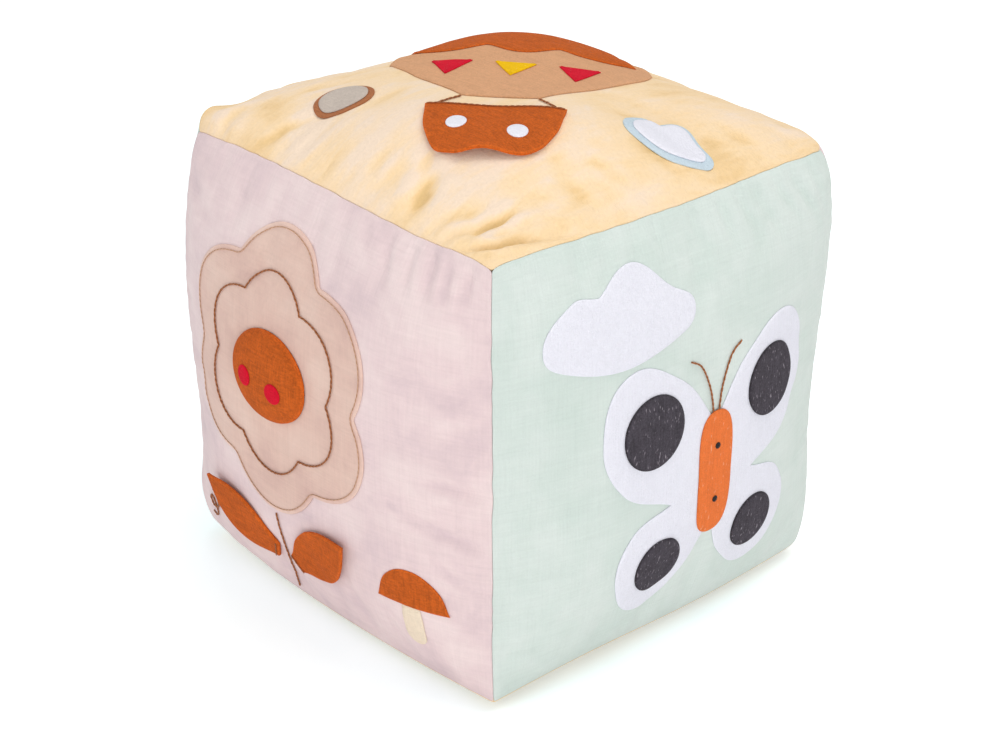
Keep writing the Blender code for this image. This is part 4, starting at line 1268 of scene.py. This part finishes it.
def thread_line(name, node, placed, path, rise, material="brown_thread", closed=False, thickness=thread_thickness,
                stitch=stitch_length):
    """A line of back stitches in a thread of two twisted strands: it dips into the cloth at each stitch."""
    points = even_path(path, thread_step, closed)
    count = len(points)
    rings = count + 1 if closed else count
    travelled = np.arange(count) * thread_step
    dips = np.abs(np.sin(math.pi * travelled / stitch)) ** 0.35
    across, up = on_side(placed, points[:, 0], points[:, 1])
    height = rise + thickness * (sunk_share + raised_share * dips)
    middle = above_cloth(placed["side"], across, up, height)
    out = unit(above_cloth(placed["side"], across, up, height + 0.001) - middle)
    ahead = np.roll(middle, -1, axis=0) - np.roll(middle, 1, axis=0)
    if not closed:
        ahead[0] = middle[1] - middle[0]
        ahead[-1] = middle[-1] - middle[-2]
    ahead = unit(ahead)
    aside = unit(np.cross(ahead, out))
    out = np.cross(aside, ahead)
    pick_only()
    bpy.ops.mesh.primitive_grid_add(x_subdivisions=ring_points, y_subdivisions=rings - 1, size=1, location=(0, 0, 0))
    thread = name_new(name)
    at = np.arange(rings) % count
    twist = 2 * math.pi * travelled[at] / ply_pitch
    if closed:
        twist = 2 * math.pi * at / count * round(travelled[-1] / ply_pitch)
    angle = 2 * math.pi * np.arange(ring_points + 1) / ring_points
    lobes = np.abs(np.cos(angle - twist[:, None] / 2))
    pulled = pulled_share + (1 - pulled_share) * dips[at]
    radius = thickness / 2 * (core_share + lobe_share * lobes) * pulled[:, None]
    places = (middle[at][:, None] + (np.cos(angle) * radius)[..., None] * aside[at][:, None]
              + (np.sin(angle) * radius)[..., None] * out[at][:, None])
    write_points(thread.data, places)
    keep_values(thread.data, "strand", lobes.ravel())
    with editing():
        bpy.ops.mesh.remove_doubles(threshold=tiny)
        if not closed:
            bpy.ops.mesh.select_all(action="DESELECT")
            bpy.ops.mesh.select_non_manifold()
            bpy.ops.mesh.fill_holes(sides=ring_points + 2)
        bpy.ops.mesh.select_all(action="SELECT")
        bpy.ops.mesh.normals_make_consistent(inside=False)
    bpy.ops.object.shade_smooth()
    thread.data.materials.append(materials[material])
    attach(thread, "block")
    if node:
        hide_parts(node)
    print(name, count, "rings")


# %% [markdown]
# ## The sewn pictures
# The pictures are generic ones: a balloon, a flower, a butterfly, a boat and a pear. Every outline is
# a short table of points as shares of the shape's size, so that a shape can be resized by one number.

# %% Round and symmetrical outlines
# A drawn point is its share across and up. The outline bends through it, unless it is pointed.
round_shares = [(0.5, 0), (0, 0.5), (-0.5, 0), (0, -0.5)]


def both_halves(top, right_half, bottom):
    """A symmetrical outline, from its points on the middle line and the ones on its right."""
    left_half = [(-x, y, *corner) for x, y, *corner in reversed(right_half)]
    return [top, *right_half, bottom, *left_half]


print("a round shape has", len(round_shares), "drawn points")

# %% [markdown]
# ## Balloon on the top
# The balloon is the biggest shape of the top: tan felt with a rust cap and three pennants sewn onto it.

# %% Balloon
balloon_turn = math.radians(40)
balloon_lift = 0.026
envelope_size = (0.116, 0.114)
neck_share = 0.14
envelope_shares = [(-neck_share, -0.50, pointed), (neck_share, -0.50, pointed), (0.37, -0.20), (0.50, 0.10),
                   (0.36, 0.39), (0.00, 0.50), (-0.36, 0.39), (-0.50, 0.10), (-0.37, -0.20)]
cap_shares = [(-0.43, 0.17, pointed), (-0.27, 0.11), (-0.14, 0.18, pointed), (0.00, 0.09), (0.14, 0.18, pointed),
              (0.27, 0.11), (0.43, 0.17, pointed), (0.31, 0.365), (0.00, 0.46), (-0.31, 0.365)]
pennant_size = (0.018, 0.020)
pennant_shares = [(-0.5, 0, pointed), (0, -1, pointed), (0.5, 0, pointed)]
top_middle = spot("top", 0, 0, balloon_turn)
balloon = within(top_middle, 0, balloon_lift)
felt_shape("balloon_felt", "balloon_envelope", "tan_felt", balloon, envelope_shares, envelope_size)
felt_shape("balloon_cap_felt", "balloon_cap", "rust_felt", balloon, cap_shares, envelope_size, "balloon_felt")
for node, felt, share in (("red_pennant_left", "red_felt", -0.24), ("yellow_pennant", "yellow_felt", 0.0),
                          ("red_pennant_right", "red_felt", 0.24)):
    placed = within(balloon, share * envelope_size[0], -0.06 * envelope_size[1])
    felt_shape(node + "_felt", node, felt, placed, pennant_shares, pennant_size, "balloon_felt")

# %% [markdown]
# ## A flap to lift
# The basket is a play flap of two layers of felt, sewn down only along its upper hem.

# %% Ropes and the loose basket
rope_drop = 0.014
hem_width = 0.003
hem_thread = {"thickness": 0.0006, "stitch": 0.0028}
basket_size = (0.058, 0.030)
dot_size = (0.0085, 0.0085)
dot_thickness = 0.0007
# Two heights of the flap's drawing, and how high its hinge lies above the cloth; they are worked out but not used.
basket_hinge = (0.0016, -0.0016, 0.002)
two_layers = 2 * felt_thickness + clearance
rope_top = -envelope_size[1] / 2
for node, hand in (("rope_left", -1), ("rope_right", 1)):
    upper = (hand * neck_share * envelope_size[0], rope_top - 2 * thread_thickness)
    lower = (hand * (basket_size[0] / 2 - hem_width), rope_top - rope_drop + thread_thickness)
    thread_line(node + "_thread", node, balloon, [upper, lower], rise_on())

basket_place = within(balloon, 0, rope_top - rope_drop - hem_width - clearance / 2)
hem_share = hem_width / basket_size[1]
basket_shares = [(-0.5, hem_share, pointed), (-0.495, 0.00, pointed), (-0.45, -0.52), (-0.30, -0.94), (0.00, -1.00),
                 (0.30, -0.94), (0.45, -0.52), (0.495, 0.00, pointed), (0.5, hem_share, pointed)]


# The loose edge lifts a little all along and more where it waves. The wave's length and start are shares of
# the flap's width, and it fades within its reach.
edge_lift, wave_lift = 0.0009, 0.0030
wave_length, wave_start, wave_reach = 0.62, 0.03, 0.030


def basket_lift(x, y):
    """The loose edge of the flap isn't flat: it waves, and lifts most in its middle."""
    down = np.clip(-y / basket_size[1], 0, 1)
    wave = 0.5 + 0.5 * np.cos(2 * math.pi * (x / basket_size[0] + wave_start) / wave_length)
    return down ** 1.6 * (edge_lift + wave_lift * wave * np.exp(-(x / wave_reach) ** 2))


def lifted_at(lift, offset):
    """The lift of a big shape, for a small one that lies on it at an offset."""
    return lambda x, y: lift(x + offset[0], y + offset[1])


felt_shape("basket_felt", "basket_hem basket_lining basket_front", "rust_felt", basket_place, basket_shares,
           basket_size, thickness=two_layers, profile=double_profile, lift=basket_lift, body="basket_flap",
           hinge=basket_hinge)
hem_row = [(share * basket_size[0], 0.0021) for share in (-0.485, 0.485)]
thread_line("basket_hem_stitches", None, basket_place, hem_row, rise_on(two_layers), **hem_thread)
for node, x_share, y_share in (("basket_dot_left", -0.24, -0.40), ("basket_dot_right", 0.20, -0.58)):
    offset = (x_share * basket_size[0], y_share * basket_size[1])
    felt_shape(node + "_felt", node, "white_felt", within(basket_place, *offset), round_shares, dot_size,
               "basket_felt", rise_on() + two_layers + clearance / 3, dot_thickness, step=fine_step,
               lift=lifted_at(basket_lift, offset), body="basket_flap")

# %% [markdown]
# ## Cloud and moon
# Both are made of two layers, so that the lower felt shows as a coloured rim round the upper one.

# %% Cloud and moon on the top
cloud_shares = [(-0.50, -0.24), (-0.36, -0.50), (0.34, -0.50), (0.50, -0.22), (0.34, 0.10, pointed), (0.10, 0.48),
                (-0.14, 0.24, pointed), (-0.32, 0.26)]
cloud_size = (0.038, 0.025)
top_layer_margin = 0.0025
cloud = within(top_middle, 0.70 * block_half, -0.28 * block_half)
upper_size = (cloud_size[0] - 3 * top_layer_margin, cloud_size[1] - 2 * top_layer_margin)
felt_shape("cloud_blue_felt", "cloud_under_layer", "pale_blue_felt", cloud, cloud_shares, cloud_size)
felt_shape("cloud_white_felt", "cloud_upper_layer", "white_felt", cloud, cloud_shares, upper_size, "cloud_blue_felt")
moon_size, upper_moon_size = (0.026, 0.026), (0.021, 0.021)
moon = within(top_middle, -0.68 * block_half, -0.20 * block_half)
felt_shape("moon_brown_felt", "moon_under_layer", "brown_felt", moon, round_shares, moon_size)
felt_shape("moon_grey_felt", "moon_upper_layer", "grey_tan_felt", moon, round_shares, upper_moon_size,
           "moon_brown_felt")

# %% [markdown]
# ## Flower on the front
# The petals are one thin woven cotton with a scalloped edge, held by a fine row of machine stitches.
# A row of embroidery divides them from the middle.

# %% Flower
petal_reach = 0.064
petal_count = 6
scallop_depth = 0.16
edge_margin = 0.0020
machine_stitches = {"thickness": 0.00048, "stitch": 0.0026}


def petal_outline(share, points_each=24):
    """The scalloped edge of the flower, at a share of its full reach."""
    outline = []
    for step in range(petal_count * points_each):
        angle = 2 * math.pi * step / (petal_count * points_each) + math.pi / petal_count
        reach = share * (1 - scallop_depth * (1 - abs(math.sin(petal_count * angle / 2))))
        outline.append((reach * math.cos(angle) * petal_reach, reach * math.sin(angle) * petal_reach))
    return outline


flower = spot("front", -0.12 * block_half, 0.20 * block_half)
petal_points = even_path(petal_outline(1), outline_step, closed=True)
felt_shape("petals_cotton", "flower_petals", "peach_cotton", flower, petal_points, thickness=cotton_thickness,
           profile=cotton_profile)
thread_line("petal_stitch_thread", "petal_stitching", flower, petal_outline(0.70), rise_on(cotton_thickness),
            closed=True)
edge_row = petal_points + inward_normals(petal_points) * edge_margin
for _ in range(4):
    edge_row = (np.roll(edge_row, 1, axis=0) + 2 * edge_row + np.roll(edge_row, -1, axis=0)) / 4
thread_line("petal_edge_stitches", None, flower, edge_row, rise_on(cotton_thickness), "tan_thread", closed=True,
            **machine_stitches)

# %% [markdown]
# ## Padded centre
# A little fibre lies below the centre, so it stands up as a soft dome. The felt is laid over it.

# %% Padded centre of the flower
centre_size = (0.048, 0.040)
pad_height = 0.0055
pad_rim = 0.0006


def centre_dome(x, y):
    distance = (2 * x / centre_size[0]) ** 2 + (2 * y / centre_size[1]) ** 2
    return pad_height * np.sqrt(np.maximum(0, 1 - distance))


felt_shape("flower_centre_felt", "flower_padding flower_centre", "rust_felt", flower, round_shares, centre_size,
           "petals_cotton", rise_on(pad_rim), step=close_step, lift=centre_dome, padded=True)
for node, x_share, y_share in (("flower_dot_left", -0.20, -0.04), ("flower_dot_right", 0.20, -0.08)):
    offset = (x_share * centre_size[0], y_share * centre_size[1])
    felt_shape(node + "_felt", node, "red_felt", within(flower, *offset), round_shares, (0.009, 0.009),
               "flower_centre_felt", rise_on(pad_rim, felt_thickness), step=fine_step,
               lift=lifted_at(centre_dome, offset))

# %% [markdown]
# ## Loose leaves
# The leaves are flaps as well, each sewn down at its base, and are made as the basket is.
# The stem and the tendril are embroidered.

# %% Stem, leaves and tendril
stem_length = 0.044
stem_shares = [(0.00, 0.00), (0.02, -0.35), (0.00, -0.70), (-0.10, -1.00)]
stem_start = within(flower, 0, -petal_reach - 2 * thread_thickness)
thread_line("stem_thread", "flower_stem", stem_start, smooth_path(stem_shares, stem_length), rise_on())
leaf_size = (0.024, 0.046)
leaf_thickness = 0.0015
leaf_drop = 0.024
leaf_hinge = (-0.0012, 0.0016, 0.001)
base_share = 0.46
hem_share = (0.42 * base_share, -hem_width / leaf_size[1])
leaf_shares = [(-base_share / 2, 0.00, pointed), (-0.50, 0.36), (-0.36, 0.72), (0.05, 1.00, pointed), (0.46, 0.62),
               (0.47, 0.28), (base_share / 2, 0.00, pointed), (*hem_share, pointed),
               (-hem_share[0], hem_share[1], pointed)]


tip_lift, side_lift = 0.0035, 0.0008


def leaf_lift(x, y):
    """The tip of a loose leaf stands a little off the cloth, and its sides curl up."""
    out = np.clip(y / leaf_size[1], 0, 1)
    return tip_lift * out ** 1.8 + side_lift * out * (x / leaf_size[0] * 2) ** 2


for name, hand, turn in (("left", -1, math.radians(66)), ("right", 1, math.radians(56))):
    base = base_share * leaf_size[0]
    root = within(flower, hand * (base / 2 + hem_width + thread_thickness), -petal_reach - leaf_drop, -hand * turn)
    shares = [(-hand * x, y, *corner) for x, y, *corner in leaf_shares]
    felt_shape(f"leaf_{name}_felt", f"leaf_hem_{name} leaf_{name}", "rust_felt", root, shares, leaf_size,
               thickness=leaf_thickness, profile=felt_profile, lift=leaf_lift, body=f"{name}_leaf_flap",
               hinge=leaf_hinge)
    row = [(share * base, -0.0018) for share in (-0.42, 0.42)]
    thread_line(f"leaf_{name}_stitches", None, root, row, rise_on(leaf_thickness), **hem_thread)

tendril_size = 0.020
tendril_shares = [(-0.5, -0.5), (-0.1, -0.38), (0.10, -0.10), (0.02, 0.16), (-0.20, 0.14), (-0.20, -0.08),
                  (0.08, -0.06), (0.32, 0.16), (0.30, 0.42), (0.10, 0.46)]
tendril = spot("front", -0.74 * block_half, -0.72 * block_half)
thread_line("tendril_thread", "tendril", tendril, smooth_path(tendril_shares, tendril_size), rise_on())

# %% [markdown]
# ## Toadstool
# Two small felts that meet edge to edge, near the lower corner of the front.

# %% Toadstool
toadstool = spot("front", 0.66 * block_half, -0.60 * block_half)
toadstool_cap = [(-0.50, 0.00, pointed), (-0.32, 0.36), (0.00, 0.50), (0.32, 0.36), (0.50, 0.00, pointed)]
toadstool_stem = [(-0.36, 0.00, pointed), (-0.42, -0.28), (-0.30, -0.50), (0.30, -0.50), (0.42, -0.28),
                  (0.36, 0.00, pointed)]
felt_shape("toadstool_cap_felt", "toadstool_cap", "rust_felt", toadstool, toadstool_cap, (0.034, 0.036))
felt_shape("toadstool_stem_felt", "toadstool_stem", "cream_felt", within(toadstool, 0, -clearance), toadstool_stem,
           (0.012, 0.036))

# %% [markdown]
# ## Butterfly on the right side
# White wings with charcoal patches and an orange body. The half outline is drawn once and mirrored.

# %% Butterfly and cloud on the right side
wing_size = (0.126, 0.118)
patch_thickness = 0.0012
wing_shares = both_halves((0, 0.20, pointed), [
    (0.17, 0.42), (0.40, 0.50), (0.50, 0.30), (0.42, 0.06), (0.20, -0.06, pointed), (0.37, -0.14), (0.41, -0.34),
    (0.26, -0.50), (0.10, -0.40)], (0, -0.20, pointed))
butterfly = spot("right", 0.10 * block_half, -0.20 * block_half)
felt_shape("wings_felt", "butterfly_wings", "white_felt", butterfly, wing_shares, wing_size)
for hand, hand_name in ((-1, "left"), (1, "right")):
    for level, x_share, y_share, patch in (("upper", 0.29, 0.26, 0.033), ("lower", 0.23, -0.30, 0.026)):
        placed = within(butterfly, hand * x_share * wing_size[0], y_share * wing_size[1])
        node = f"wing_patch_{level}_{hand_name}"
        felt_shape(node + "_felt", node, "charcoal_felt", placed, round_shares, (patch, patch), "wings_felt",
                   thickness=patch_thickness)
body_size = (0.020, 0.058)
felt_shape("butterfly_body_felt", "butterfly_body", "orange_felt", butterfly, round_shares, body_size, "wings_felt",
           step=close_step)
for node, share in (("body_dot_upper", 0.22), ("body_dot_lower", -0.22)):
    felt_shape(node + "_stitch", node, "black_thread", within(butterfly, 0, share * body_size[1]), round_shares,
               (0.003, 0.003), "butterfly_body_felt", rise_on(felt_thickness, felt_thickness), dot_thickness,
               step=fine_step)
antenna_height = 0.030
antenna_start = within(butterfly, 0, 0.20 * wing_size[1] + 2 * thread_thickness)
for node, hand in (("antenna_left", -1), ("antenna_right", 1)):
    shares = [(hand * x, y) for x, y in ((0.05, 0.05), (0.12, 0.45), (0.30, 0.85), (0.52, 1.0))]
    thread_line(node + "_thread", node, antenna_start, smooth_path(shares, antenna_height), rise_on())
side_cloud_size = (0.080, 0.036)
side_cloud = spot("right", -0.40 * block_half, butterfly["up"] + (wing_size[1] + side_cloud_size[1]) / 2 + 0.009)
felt_shape("side_cloud_felt", "side_cloud", "white_felt", side_cloud, cloud_shares, side_cloud_size)

# %% [markdown]
# ## Boat on the left side
# This side isn't in the photograph. It repeats the felts of the others: a charcoal hull, white sails
# and a red flag, with an embroidered mast.

# %% Sailing boat on the left side
hull_size = (0.108, 0.028)
hull_shares = [(-0.50, 0.50, pointed), (-0.34, -0.34), (-0.22, -0.50), (0.22, -0.50), (0.34, -0.34),
               (0.50, 0.50, pointed)]
main_sail = [(0, 0, pointed), (1, 0, pointed), (0.74, 0.46), (0, 1, pointed)]
jib = [(0, 0, pointed), (0, 1, pointed), (-0.62, 0.40), (-1, 0, pointed)]
flag = [(0, -0.5, pointed), (1, 0, pointed), (0, 0.5, pointed)]
flag_size = (0.020, 0.013)
mast_height = 0.104
rigging_gap = 0.002
boat = spot("left", 0, -0.46 * block_half)
deck = hull_size[1] / 2 + rigging_gap
felt_shape("hull_felt", "boat_hull", "charcoal_felt", boat, hull_shares, hull_size)
thread_line("mast_thread", "boat_mast", boat, [(0, deck), (0, deck + mast_height)], rise_on())
felt_shape("main_sail_felt", "main_sail", "white_felt", within(boat, rigging_gap, deck), main_sail, (0.052, 0.086))
felt_shape("jib_felt", "jib_sail", "white_felt", within(boat, -rigging_gap, deck), jib, (0.038, 0.068))
felt_shape("boat_flag_felt", "boat_flag", "red_felt",
           within(boat, rigging_gap, deck + mast_height - flag_size[1] / 2), flag, flag_size)

# %% [markdown]
# ## Pear on the back
# The back isn't in the photograph either. It has one big tan shape, as the top has, and small red and rust ones.

# %% Pear and heart on the back
pear_size = (0.082, 0.108)
pear_shares = both_halves((0, 0.5), [(0.17, 0.40), (0.24, 0.16), (0.42, -0.08), (0.50, -0.26), (0.34, -0.46)],
                          (0, -0.5))
pear_stem_length = 0.018
pear_stem = [(0.0, 0.0), (0.10, 0.5), (0.35, 1.0)]
pear_leaf = [(0, 0, pointed), (0.45, 0.5), (1, 0, pointed), (0.45, -0.5)]
pear = spot("back", -0.12 * block_half, -0.12 * block_half)
pear_tip = within(pear, 0, pear_size[1] / 2 + 2 * thread_thickness)
felt_shape("pear_felt", "pear", "tan_felt", pear, pear_shares, pear_size)
thread_line("pear_stem_thread", "pear_stem", pear_tip, smooth_path(pear_stem, pear_stem_length), rise_on())
felt_shape("pear_leaf_felt", "pear_leaf", "rust_felt", within(pear_tip, 0.0085, thread_thickness, math.radians(24)),
           pear_leaf, (0.034, 0.017))
heart_shares = [(0, -0.5, pointed), (0.46, 0.04), (0.40, 0.42), (0.16, 0.48), (0, 0.26, pointed), (-0.16, 0.48),
                (-0.40, 0.42), (-0.46, 0.04)]
heart = spot("back", 0.58 * block_half, 0.56 * block_half)
felt_shape("heart_felt", "heart", "red_felt", heart, heart_shares, (0.030, 0.028))

# %% [markdown]
# ## The panels and the stuffing on the block
# The six panels were cut as flat squares, with a seam allowance of 8 mm on every edge, and the stuffing
# holds them stretched. They and the stuffing are set onto the block here.

# %% Panels and stuffing
for side, piece in panels.items():
    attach(piece, "block")
    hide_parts(side + "_panel")
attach(stuffing, "block")
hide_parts("fibre_filling")
